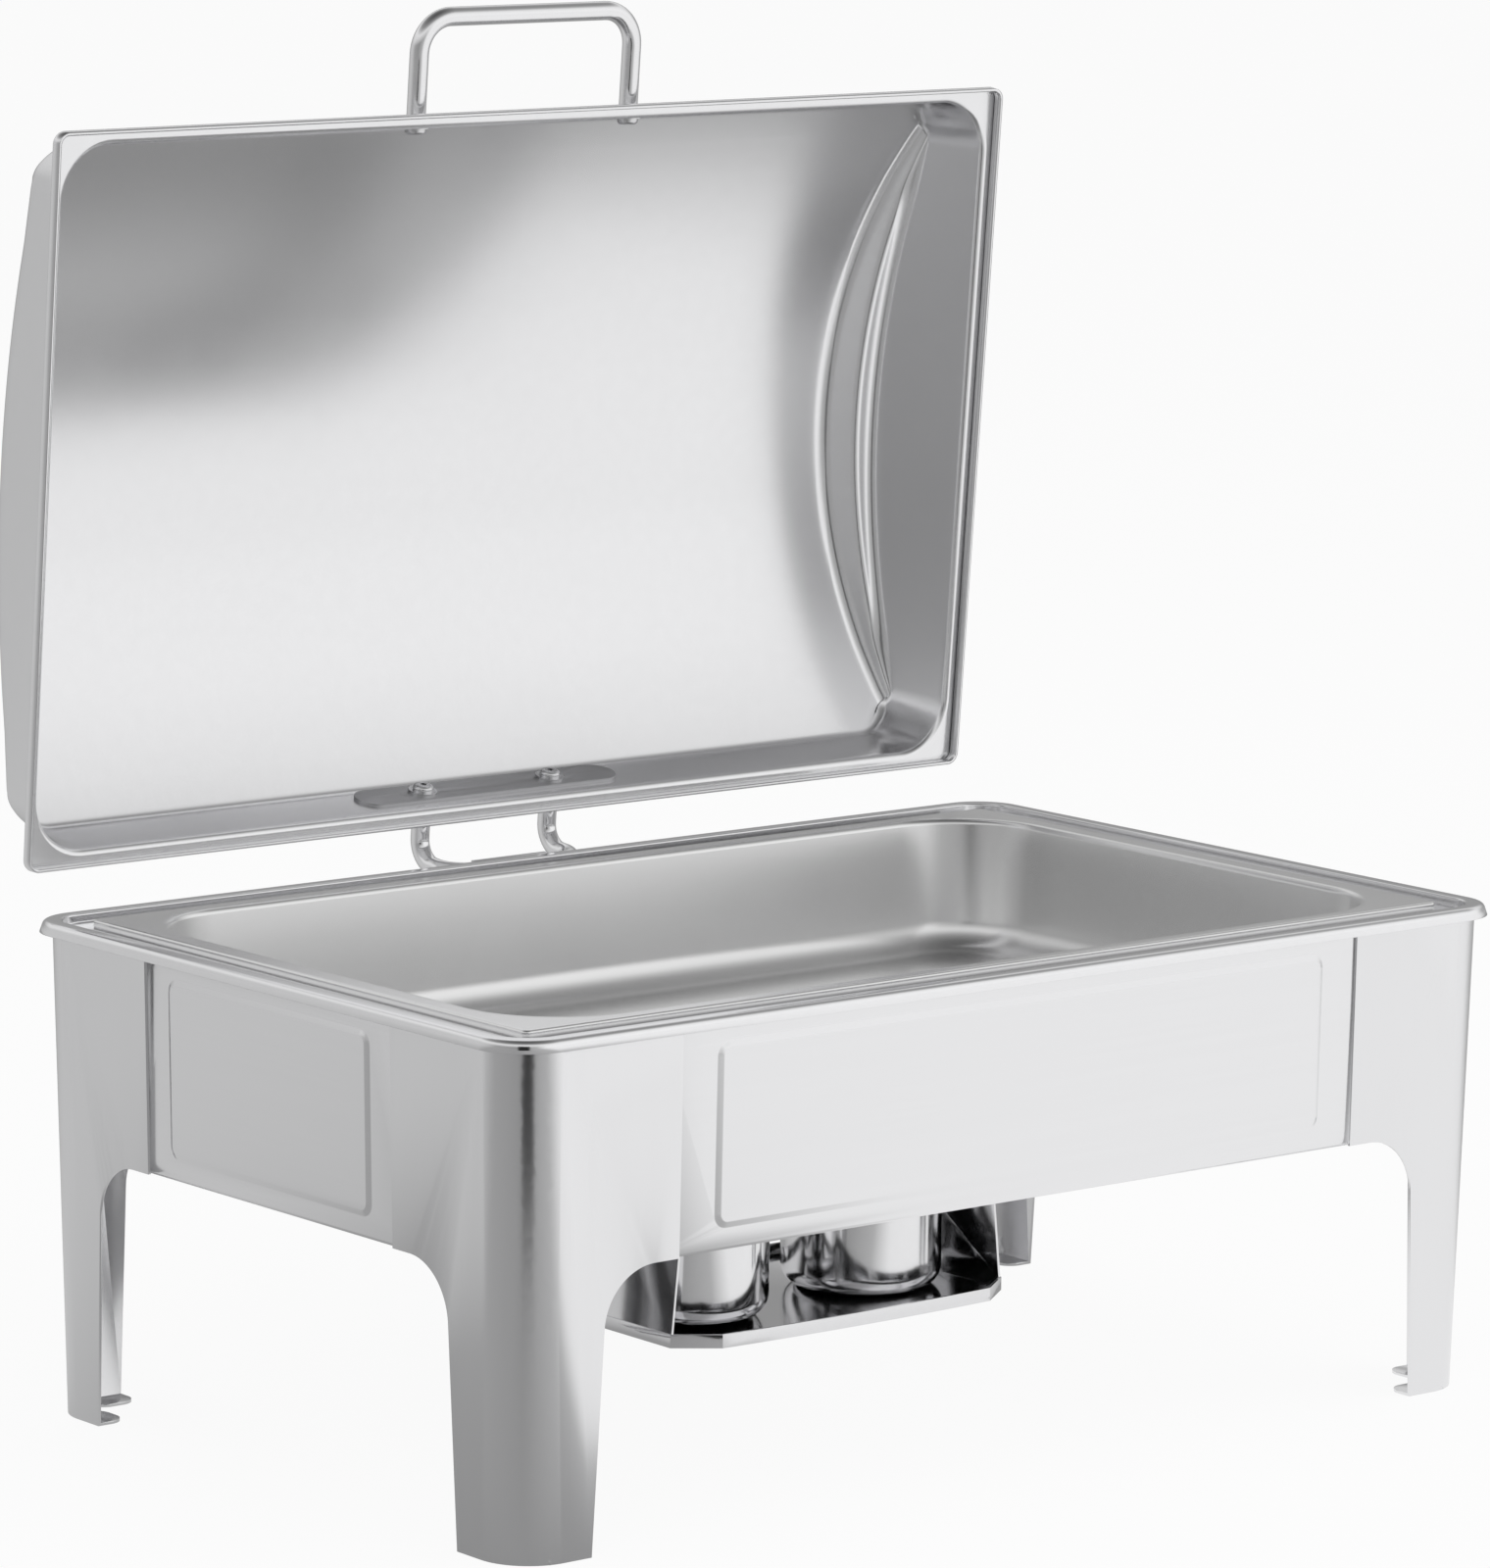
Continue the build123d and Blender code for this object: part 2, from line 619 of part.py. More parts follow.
def screws(planes, stand_off):
    """Return button-head socket screws seated stand_off above each plane."""
    with BuildPart() as group:
        for plane in planes:
            seat = plane.offset(stand_off)
            with BuildSketch(seat) as shank:
                Circle(SCREW_R)
            extrude(shank.sketch, amount=-SCREW_LENGTH)
            with BuildSketch(seat) as head:
                Circle(SCREW_HEAD_R)
            button = extrude(head.sketch, amount=SCREW_HEAD_H)
            crown_edge = button.edges().sort_by_distance(seat.offset(SCREW_HEAD_H).origin)
            fillet(crown_edge.filter_by(GeomType.CIRCLE)[0], SCREW_HEAD_H * 0.7)
            with BuildSketch(seat.offset(SCREW_HEAD_H)) as socket:
                RegularPolygon(SCREW_SOCKET, 6)
            extrude(socket.sketch, amount=-SCREW_SOCKET_DEPTH, mode=Mode.SUBTRACT)
    return group.part


def washers(planes, stand_off):
    """Return flat washers seated stand_off above each plane."""
    with BuildPart() as group:
        for plane in planes:
            with BuildSketch(plane.offset(stand_off)) as ring:
                Circle(WASHER_R)
                Circle(SCREW_R + BORE_GAP, mode=Mode.SUBTRACT)
            extrude(ring.sketch, amount=WASHER_H)
    return group.part


save(washers(handle_walls, 0), "handle_washers")
save(screws(handle_walls, WASHER_H), "handle_screws")
save(washers(hinge_walls, BACKING_SHEET), "hinge_washers")
save(screws(hinge_walls, BACKING_SHEET + WASHER_H), "hinge_screws")

with BuildPart() as backing_plate:
    with BuildSketch(hood_wall(0, 1)):
        SlotOverall(BACKING_LENGTH, BACKING_WIDTH)
    extrude(amount=BACKING_SHEET)
    bore(hinge_walls, SCREW_R + BORE_GAP, 2 * BACKING_SHEET)
save(backing_plate.part, "backing_plate")


# --- Fuel tray: bowed floor with lips, and two leaning side plates with arms ------------------


def tray_outline(inset):
    """Draw the floor's outline: straight sides, cut corners and bowed front and back."""
    side_x, side_y = TRAY_X - inset, TRAY_SIDE_Y - inset * tan(radians(30))
    nose_x, nose_y = TRAY_NOSE_X - inset / 2, TRAY_NOSE_Y - inset
    with BuildLine() as edge:
        for end in (-1, 1):
            ThreePointArc(
                (-end * nose_x, end * nose_y),
                (0, end * (TRAY_BOW_Y - inset)),
                (end * nose_x, end * nose_y),
            )
            Line((-side_x * end, end * side_y), (-nose_x * end, end * nose_y))
            Line((side_x * end, end * side_y), (nose_x * end, end * nose_y))
            Line((side_x * end, -side_y), (side_x * end, side_y))
    make_face(edge.edges())


with BuildPart() as fuel_tray:
    with BuildSketch(on(STAND, Plane.XY.offset(TRAY_LOW))) as dish:
        tray_outline(0)
    extrude(dish.sketch, amount=TRAY_SHEET + TRAY_LIP)
    with BuildSketch(on(STAND, Plane.XY.offset(TRAY_LOW + TRAY_SHEET))) as hollow:
        tray_outline(TRAY_SHEET)
    extrude(hollow.sketch, amount=TRAY_LIP, mode=Mode.SUBTRACT)
    for end in (-1, 1):
        tilt = Plane(
            (end * TRAY_X, 0, TRAY_LOW),
            x_dir=(0, end, 0),
            z_dir=(end * cos(radians(TRAY_LEAN)), 0, sin(radians(TRAY_LEAN))),
        )
        climb = (TRAY_ARM_HIGH - TRAY_LOW) / cos(radians(TRAY_LEAN))
        shelf = (ARM_LOW + SKIRT_SHEET + SEAT_GAP - TRAY_LOW) / cos(radians(TRAY_LEAN))
        shelf += TRAY_SHEET * tan(radians(TRAY_LEAN))
        with BuildSketch(on(STAND, tilt)) as plate:
            with Locations((0, climb / 2)):
                Rectangle(2 * TRAY_SIDE_Y, climb)
            with Locations((0, (climb + shelf) / 2)):
                Rectangle(2 * TRAY_ARM_Y, climb - shelf)
        extrude(plate.sketch, amount=-TRAY_SHEET)
save(fuel_tray.part, "fuel_tray")


# --- Fuel cups: cup, ring cover, swivel damper and its rivet ----------------------------------

CUP_FLOOR = TRAY_LOW + TRAY_SHEET
CUP_TOP = CUP_FLOOR + CUP_HEIGHT
COVER_TOP = CUP_TOP + COVER_SHEET


def cup(frame):
    """Return a drawn cup with a rounded lower edge, open at the top."""
    with BuildPart() as piece:
        with BuildSketch(frame.offset(CUP_FLOOR)) as base:
            Circle(CUP_R)
        extrude(base.sketch, amount=CUP_HEIGHT)
        fillet(piece.faces().sort_by(Axis.Z)[0].edges(), CUP_EDGE_R)
        offset(amount=-CUP_SHEET, openings=piece.faces().sort_by(Axis.Z)[-1])
    return piece.part


def cover(frame, pivot):
    """Return the cup's push-on ring cover with its flame opening and rivet hole."""
    sleeve_r = CUP_R + BORE_GAP
    with BuildPart() as piece:
        with BuildSketch(frame.offset(CUP_TOP - COVER_DROP)) as wall:
            Circle(sleeve_r + COVER_SHEET)
        extrude(wall.sketch, amount=COVER_DROP + COVER_SHEET)
        fillet(piece.faces().sort_by(Axis.Z)[-1].edges(), COVER_SHEET)
        with BuildSketch(frame.offset(CUP_TOP - COVER_DROP)) as room:
            Circle(sleeve_r)
        extrude(room.sketch, amount=COVER_DROP, mode=Mode.SUBTRACT)
        bore([frame.offset(COVER_TOP)], FLAME_R, 2 * COVER_SHEET)
        bore([pivot.offset(COVER_TOP)], RIVET_R + BORE_GAP, 2 * COVER_SHEET)
    return piece.part


def damper(pivot, swing):
    """Return a swivel plate, swung by an angle: eye, neck, disc and upturned tab."""
    arm = turned(pivot, swing)
    with BuildPart() as piece:
        with BuildSketch(arm.offset(COVER_TOP + DAMPER_GAP)) as plate:
            Circle(DAMPER_EYE_R)
            with Locations((0, -DAMPER_ARM)):
                Circle(DAMPER_R)
            with Locations((0, -DAMPER_ARM / 2)):
                Rectangle(2 * DAMPER_EYE_R, DAMPER_ARM)
            Circle(RIVET_R + BORE_GAP, mode=Mode.SUBTRACT)
        extrude(plate.sketch, amount=DAMPER_SHEET)
        with BuildSketch(arm.offset(COVER_TOP + DAMPER_GAP)) as tab:
            with Locations((0, DAMPER_SHEET - DAMPER_ARM - DAMPER_R)):
                Rectangle(DAMPER_TAB_W, DAMPER_SHEET)
        extrude(tab.sketch, amount=DAMPER_TAB_H)
    return piece.part


def rivet(pivot):
    """Return the rivet that the damper turns on: tail, shank and domed head."""
    head_z = COVER_TOP + 2 * DAMPER_GAP + DAMPER_SHEET
    with BuildPart() as piece:
        with BuildSketch(pivot.offset(CUP_TOP - RIVET_HEAD_H)) as tail:
            Circle(RIVET_HEAD_R)
        extrude(tail.sketch, amount=RIVET_HEAD_H)
        with BuildSketch(pivot.offset(CUP_TOP)) as shank:
            Circle(RIVET_R)
        extrude(shank.sketch, amount=head_z - CUP_TOP)
        with BuildSketch(pivot.offset(head_z)) as head:
            Circle(RIVET_HEAD_R)
        extrude(head.sketch, amount=RIVET_HEAD_H)
        fillet(piece.faces().sort_by(Axis.Z)[-1].edges(), RIVET_HEAD_H * 0.8)
    return piece.part


for name, side in (("left", -1), ("right", 1)):
    centre = Plane(STAND.location * Location((side * CUP_X, CUP_Y, 0)))
    pivot = Plane(centre.location * Location((0, DAMPER_ARM, 0)))
    save(cup(centre), f"fuel_cup_{name}")
    save(cover(centre, pivot), f"cup_cover_{name}")
    save(damper(pivot, -90 * side), f"damper_{name}")
    save(rivet(pivot), f"damper_rivet_{name}")
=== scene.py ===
"""Looks of a full-size chafing dish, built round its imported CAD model.

The dish stands on a plain pale table. Its sheet stand keeps the CAD's folded pieces with softened
edges, and every drawn or bent piece, such as the hood, the two pans, the bars and the fuel cups,
is a smooth surface worked out here from the maker's own sizes. Sizes are in millimetres in the
dataclasses and metres in the meshes. +Z is up, +X runs along the dish and -Y is the guest's side.
"""

import enum
import functools
import logging
import math
from dataclasses import dataclass

import bmesh
import bpy
import numpy as np
from mathutils import Matrix, Vector


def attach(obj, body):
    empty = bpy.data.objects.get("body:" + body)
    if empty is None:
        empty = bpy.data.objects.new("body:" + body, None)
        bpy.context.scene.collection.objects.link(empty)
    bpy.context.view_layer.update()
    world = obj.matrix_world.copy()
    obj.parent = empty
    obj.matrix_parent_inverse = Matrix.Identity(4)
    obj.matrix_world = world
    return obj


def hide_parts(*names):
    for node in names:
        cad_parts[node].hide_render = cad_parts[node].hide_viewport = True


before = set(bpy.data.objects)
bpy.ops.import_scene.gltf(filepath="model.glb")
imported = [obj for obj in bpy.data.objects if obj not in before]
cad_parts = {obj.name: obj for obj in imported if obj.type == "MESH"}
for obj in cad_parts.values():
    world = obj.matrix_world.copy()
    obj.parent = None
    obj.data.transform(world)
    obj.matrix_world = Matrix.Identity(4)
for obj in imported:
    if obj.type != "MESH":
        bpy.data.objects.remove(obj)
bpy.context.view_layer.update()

MM = 0.001
MIDDLE_Y = -38.1  # middle of the stand, the pans and the shut hood along Y, in millimetres
LOG = logging.getLogger("chafing_dish")

# --- Curves and surfaces ------------------------------------------------------------------------


def rounded(points: list[tuple[float, float]], radii: list[float], steps: int = 7) -> np.ndarray:
    """A polyline whose inner corners are rounded by tangent arcs.

    At a corner with unit directions a (back) and b (on), half the angle between them is h. The arc
    starts at corner + a * r / tan(h), its centre is corner + (a + b) / |a + b| * r / sin(h), and
    its points are the centre plus the turned radius.

    Args:
        points: the polyline's corners.
        radii: a radius for every inner corner, 0 for a sharp one.
        steps: chords in each arc.

    Returns:
        The rounded line's points, shape (n, 2).
    """
    line = [np.asarray(points[0], float)[None]]
    for before, corner, after, radius in zip(points, points[1:], points[2:], radii):
        corner = np.asarray(corner, float)
        if radius <= 0:
            line.append(corner[None])
            continue
        back = np.asarray(before, float) - corner
        on = np.asarray(after, float) - corner
        back, on = back / np.linalg.norm(back), on / np.linalg.norm(on)
        half = math.acos(np.clip(back @ on, -1, 1)) / 2
        middle = (back + on) / np.linalg.norm(back + on)
        centre = corner + middle * radius / math.sin(half)
        first = corner + back * radius / math.tan(half) - centre
        last = corner + on * radius / math.tan(half) - centre
        turn = math.atan2(first[0] * last[1] - first[1] * last[0], first @ last)
        angle = np.linspace(0, turn, steps + 1)[:, None]
        across = np.array([-first[1], first[0]])
        line.append(centre + np.cos(angle) * first + np.sin(angle) * across)
    line.append(np.asarray(points[-1], float)[None])
    return np.concatenate(line)


def mesh_object(
    name: str, vertices: np.ndarray, faces: list, smooth: bool = True
) -> bpy.types.Object:
    """Link a mesh object at the origin, with its place in its mesh.

    Args:
        name: the piece's name.
        vertices: points in millimetres, shape (n, 3).
        faces: lists of vertex numbers.
        smooth: whether its faces shade smoothly.

    Returns:
        The new object.
    """
    mesh = bpy.data.meshes.new(name)
    mesh.from_pydata((vertices * MM).tolist(), [], faces)
    mesh.validate()
    mesh.polygons.foreach_set("use_smooth", [smooth] * len(mesh.polygons))
    piece = bpy.data.objects.new(name, mesh)
    bpy.context.scene.collection.objects.link(piece)
    return piece


def grid_faces(rows: int, columns: int, wrap: bool, first: int = 0) -> np.ndarray:
    """Quads of a grid of points stored row by row.

    Quad (i, j) joins point i * columns + j to its neighbours at j + 1 and in row i + 1.

    Args:
        rows: number of rows.
        columns: number of points in a row.
        wrap: whether the last column joins the first.
        first: number of the grid's first point.

    Returns:
        Vertex numbers, shape (quads, 4).
    """
    i = np.arange(rows - 1)[:, None]
    j = np.arange(columns if wrap else columns - 1)[None, :]
    on = (j + 1) % columns
    quads = [i * columns + j, i * columns + on, (i + 1) * columns + on, (i + 1) * columns + j]
    spread = [np.broadcast_to(quad, (rows - 1, j.size)) for quad in quads]
    return np.stack(spread, -1).reshape(-1, 4) + first


def weld(piece: bpy.types.Object, distance: float = 1e-6) -> None:
    """Merge a mesh's doubled points and turn its faces outwards."""
    body = bmesh.new()
    body.from_mesh(piece.data)
    bmesh.ops.remove_doubles(body, verts=body.verts, dist=distance)
    bmesh.ops.recalc_face_normals(body, faces=body.faces)
    body.to_mesh(piece.data)
    body.free()


def revolve(
    name: str, profile: np.ndarray, centre: tuple[float, float], segments: int = 96
) -> bpy.types.Object:
    """A closed profile turned about an upright axis.

    Point (i, j) is centre + (r_i cos t_j, r_i sin t_j, z_i), with t_j evenly round the circle.

    Args:
        name: the piece's name.
        profile: radius and height of each profile point; it starts and ends where it closes.
        centre: the axis in plan.
        segments: steps round the axis.

    Returns:
        The closed solid of revolution.
    """
    turn = np.linspace(0, 2 * np.pi, segments, endpoint=False)
    x = centre[0] + profile[:, :1] * np.cos(turn)
    y = centre[1] + profile[:, :1] * np.sin(turn)
    z = np.broadcast_to(profile[:, 1:], x.shape)
    points = np.stack([x, y, z], -1).reshape(-1, 3)
    piece = mesh_object(name, points, grid_faces(len(profile), segments, True).tolist())
    weld(piece)
    return piece


@dataclass(frozen=True)
class Plan:
    """Samples round a rounded rectangle that stay matched from one outline to the next.

    A sample is a pair (u, v) on the edge of the square from -2 to 2. Up to 1 it measures along the
    straight side, and from 1 to 2 round the corner.
    """

    along: np.ndarray
    across: np.ndarray

    def ring(self) -> tuple[np.ndarray, np.ndarray]:
        """The samples in order round the edge, as two arrays u and v."""
        low, high = np.full(self.along.size - 1, -2.0), np.full(self.along.size - 1, 2.0)
        left, right = np.full(self.across.size - 1, -2.0), np.full(self.across.size - 1, 2.0)
        u = np.concatenate([self.along[:-1], right, self.along[:0:-1], left])
        v = np.concatenate([low, self.across[:-1], high, self.across[:0:-1]])
        return u, v

    @staticmethod
    def place(
        u: np.ndarray, v: np.ndarray, half_x: np.ndarray, half_y: np.ndarray, corner: np.ndarray
    ) -> np.ndarray:
        """Carry samples onto an outline.

        In a corner the square [0, 1] x [0, 1] becomes a quarter disc by
        (a, b) -> (a sqrt(1 - b^2 / 2), b sqrt(1 - a^2 / 2)), scaled by the corner's radius.

        Args:
            u: samples along X.
            v: samples along Y.
            half_x: half the outline's length.
            half_y: half its width.
            corner: its corner radius.

        Returns:
            Points in plan, shape (..., 2).
        """
        a, b = np.clip(np.abs(u) - 1, 0, 1), np.clip(np.abs(v) - 1, 0, 1)
        bent_a, bent_b = a * np.sqrt(1 - b**2 / 2), b * np.sqrt(1 - a**2 / 2)
        x = np.sign(u) * (np.clip(np.abs(u), 0, 1) * (half_x - corner) + corner * bent_a)
        y = np.sign(v) * (np.clip(np.abs(v), 0, 1) * (half_y - corner) + corner * bent_b)
        return np.stack(np.broadcast_arrays(x, y), -1)

    def walls(self, stations: np.ndarray) -> np.ndarray:
        """Rings of points through stations of half length, half width, corner radius and height.

        Args:
            stations: one row per ring, shape (k, 4).

        Returns:
            Points, shape (k, ring, 3).
        """
        u, v = self.ring()
        half_x, half_y, corner, height = (stations[:, i, None] for i in range(4))
        flat = self.place(u[None], v[None], half_x, half_y, corner)
        return np.concatenate([flat, np.broadcast_to(height[..., None], flat.shape[:2] + (1,))], -1)


def even_plan(straight_x: int = 40, straight_y: int = 28, corner: int = 12) -> Plan:
    """A plan with evenly spaced samples on its sides and corners."""
    bend = np.linspace(1, 2, corner + 1)[1:]
    x, y = np.linspace(-1, 1, straight_x + 1), np.linspace(-1, 1, straight_y + 1)
    return Plan(np.concatenate([-bend[::-1], x, bend]), np.concatenate([-bend[::-1], y, bend]))


def inset_rings(outline: tuple[float, float, float], line: np.ndarray) -> np.ndarray:
    """Stations of an outline drawn in along a profile.

    An inset makes the outline's half sizes and its corner radius smaller by as much.

    Args:
        outline: half length, half width and corner radius.
        line: inset and height of each profile point, shape (k, 2).

    Returns:
        Half length, half width, corner and height of each ring, shape (k, 4).
    """
    return np.column_stack([np.array(outline) - line[:, :1], line[:, 1]])


def drawn_well(
    top: float, floor: float, draft: float, bends: list[float], border: float
) -> np.ndarray:
    """Inset and height down a drafted well, from the flat round its mouth to its floor.

    Args:
        top: the mouth's height.
        floor: the floor's height.
        draft: the wall's lean, in degrees.
        bends: bend radii at the mouth and at the floor.
        border: how much of the flat round the mouth is in it.

    Returns:
        The profile's points, shape (k, 2).
    """
    draw = (top - floor) * math.tan(math.radians(draft))
    run = 24.0
    return rounded([(-border, top), (0, top), (draw, floor), (draw + run, floor)], bends, 10)


def sheet_pan(name: str, stations: np.ndarray) -> bpy.types.Object:
    """A drawn sheet pan: rings through its stations, closed by a flat floor.

    Args:
        name: the piece's name.
        stations: half length, half width, corner and height of each ring, from rim to floor.

    Returns:
        The upper skin, facing up and inwards.
    """
    rings = even_plan().walls(stations)
    rings[..., 1] += MIDDLE_Y
    rows, columns = rings.shape[:2]
    faces = grid_faces(rows, columns, True).tolist()
    faces.append(list(range((rows - 1) * columns, rows * columns)))
    return mesh_object(name, rings.reshape(-1, 3), faces)


def thicken(piece: bpy.types.Object, sheet: float) -> None:
    """Give a skin its sheet's thickness, away from the side that its faces look to."""
    wall = piece.modifiers.new("sheet", "SOLIDIFY")
    wall.thickness = sheet * MM
    wall.offset = -1
    wall.use_quality_normals = True


def soften(piece: bpy.types.Object, width: float, segments: int = 2, angle: float = 25.0) -> None:
    """Round a piece's sharp edges by a width in millimetres."""
    edge = piece.modifiers.new("soft_edges", "BEVEL")
    edge.width = width * MM
    edge.segments = segments
    edge.limit_method = "ANGLE"
    edge.angle_limit = math.radians(angle)
    edge.harden_normals = True
    edge.miter_outer = "MITER_ARC"


def tube(name: str, route: np.ndarray, radius: float, segments: int = 40) -> bpy.types.Object:
    """A round bar along a route.

    With unit tangent t and a fixed direction f, the ring at a point is
    point + radius (cos a n + sin a m), where n = t x f made unit and m = t x n.

    Args:
        name: the piece's name.
        route: points of the centreline, shape (n, 3).
        radius: the bar's radius.
        segments: steps round the bar.

    Returns:
        The bar, with closed ends.
    """
    step = np.gradient(route, axis=0)
    tangent = step / np.linalg.norm(step, axis=1, keepdims=True)
    side = np.cross(tangent, np.array([0.36, 0.48, 0.8]))
    side /= np.linalg.norm(side, axis=1, keepdims=True)
    over = np.cross(tangent, side)
    turn = np.linspace(0, 2 * np.pi, segments, endpoint=False)
    ring = np.cos(turn)[:, None] * side[:, None] + np.sin(turn)[:, None] * over[:, None]
    points = (route[:, None] + radius * ring).reshape(-1, 3)
    faces = grid_faces(len(route), segments, True).tolist()
    last = (len(route) - 1) * segments
    faces += [list(range(segments)), list(range(last, last + segments))]
    piece = mesh_object(name, points, faces)
    weld(piece)
    return piece


def bent_route(corners: np.ndarray, bend: float, run: int = 12, turn: int = 14) -> np.ndarray:
    """A route of straight runs joined by tangent arcs.

    Each arc is centre + cos a first + sin a across, in the plane of its two runs, and a straight
    run is divided evenly between the arcs at its ends.

    Args:
        corners: the route's ends and corners, shape (n, 3).
        bend: the arcs' radius.
        run: steps in a straight run.
        turn: steps in an arc.

    Returns:
        Points on the route, shape (m, 3).
    """
    parts, at = [], corners[0]
    for before, corner, after in zip(corners, corners[1:], corners[2:]):
        back = (before - corner) / np.linalg.norm(before - corner)
        on = (after - corner) / np.linalg.norm(after - corner)
        half = math.acos(np.clip(back @ on, -1, 1)) / 2
        start, end = corner + back * bend / math.tan(half), corner + on * bend / math.tan(half)
        centre = corner + (back + on) / np.linalg.norm(back + on) * bend / math.sin(half)
        parts.append(at + (start - at) * np.linspace(0, 1, run, endpoint=False)[:, None])
        angle = np.linspace(0, math.pi - 2 * half, turn, endpoint=False)[:, None]
        parts.append(centre + np.cos(angle) * (start - centre) - np.sin(angle) * back * bend)
        at = end
    parts.append(at + (corners[-1] - at) * np.linspace(0, 1, run + 1)[:, None])
    return np.concatenate(parts)


def cad_copy(name: str, node: str, edge: float, angle: float = 25.0) -> bpy.types.Object:
    """A copy of a CAD node with merged points and softened edges.

    Args:
        name: the new piece's name.
        node: the CAD node it stands for.
        edge: how wide its edges are rounded, in millimetres.
        angle: the least turn, in degrees, that counts as an edge.

    Returns:
        The copy, which replaces the node.
    """
    piece = bpy.data.objects.new(name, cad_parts[node].data.copy())
    bpy.context.scene.collection.objects.link(piece)
    body = bmesh.new()
    body.from_mesh(piece.data)
    bmesh.ops.remove_doubles(body, verts=body.verts, dist=2e-6)
    flat = math.radians(0.6)
    bmesh.ops.dissolve_limit(body, angle_limit=flat, verts=body.verts, edges=body.edges)
    body.to_mesh(piece.data)
    body.free()
    piece.data.polygons.foreach_set("use_smooth", [True] * len(piece.data.polygons))
    soften(piece, edge, angle=angle)
    return piece


# --- Finishes -----------------------------------------------------------------------------------


class Grain(enum.Enum):
    """The direction that a sheet was brushed in, as scales along X, Y and Z."""

    ALONG_X = (6.0, 900.0, 900.0)
    ALONG_Y = (900.0, 6.0, 900.0)
    UPRIGHT = (900.0, 900.0, 6.0)
    NONE = (260.0, 260.0, 260.0)


def new_group(
    name: str, inputs: dict[str, str], outputs: dict[str, str]
) -> bpy.types.NodeTree:
    """Make an empty shader node group from its sockets' names and kinds."""
    group = bpy.data.node_groups.new(name, "ShaderNodeTree")
    for way, sockets in (("INPUT", inputs), ("OUTPUT", outputs)):
        for socket, kind in sockets.items():
            group.interface.new_socket(
                name=socket, in_out=way, socket_type=f"NodeSocket{kind}"
            )
    return group


def set_inputs(node: bpy.types.Node, **values: object) -> None:
    """Set a node's inputs by name, with an underscore for each space."""
    for name, value in values.items():
        node.inputs[name.replace("_", " ")].default_value = value


@functools.cache
def grain_group() -> bpy.types.NodeTree:
    """Build the brushed grain: fine noise stretched along one axis, as a height and a mask.

    Returns:
        The shader node group, built once.
    """
    inputs, outputs = {"Vector": "Vector", "Scale": "Vector"}, {"Height": "Float", "Mask": "Float"}
    group = new_group("brushed_grain", inputs, outputs)
    link, new = group.links.new, group.nodes.new
    enter, leave = new("NodeGroupInput"), new("NodeGroupOutput")
    stretch = new("ShaderNodeVectorMath")
    stretch.operation = "MULTIPLY"
    fine, broad = new("ShaderNodeTexNoise"), new("ShaderNodeTexNoise")
    set_inputs(fine, Scale=3.0, Detail=3.0)
    set_inputs(broad, Scale=0.55, Detail=2.0)
    both = new("ShaderNodeMath")
    both.operation = "MULTIPLY"
    link(enter.outputs["Vector"], stretch.inputs[0])
    link(enter.outputs["Scale"], stretch.inputs[1])
    link(stretch.outputs[0], fine.inputs["Vector"])
    link(stretch.outputs[0], broad.inputs["Vector"])
    link(fine.outputs["Fac"], both.inputs[0])
    link(broad.outputs["Fac"], both.inputs[1])
    link(fine.outputs["Fac"], leave.inputs["Height"])
    link(both.outputs[0], leave.inputs["Mask"])
    return group


@functools.cache
def wave_group() -> bpy.types.NodeTree:
    """Build the slow unevenness of drawn or pressed sheet, as a height, and faint wiping marks.

    Returns:
        The shader node group, built once.
    """
    inputs = {"Vector": "Vector", "Wave Scale": "Float", "Wipe Scale": "Float"}
    group = new_group("sheet_unevenness", inputs, {"Height": "Float", "Wipe": "Float"})
    link, new = group.links.new, group.nodes.new
    enter, leave = new("NodeGroupInput"), new("NodeGroupOutput")
    slow, wipe = new("ShaderNodeTexNoise"), new("ShaderNodeTexNoise")
    set_inputs(slow, Detail=1.0)
    set_inputs(wipe, Detail=3.0)
    ramp = new("ShaderNodeMapRange")
    set_inputs(ramp, From_Min=0.42, From_Max=0.72)
    link(enter.outputs["Vector"], slow.inputs["Vector"])
    link(enter.outputs["Vector"], wipe.inputs["Vector"])
    link(enter.outputs["Wave Scale"], slow.inputs["Scale"])
    link(enter.outputs["Wipe Scale"], wipe.inputs["Scale"])
    link(wipe.outputs["Fac"], ramp.inputs["Value"])
    link(slow.outputs["Fac"], leave.inputs["Height"])
    link(ramp.outputs["Result"], leave.inputs["Wipe"])
    return group


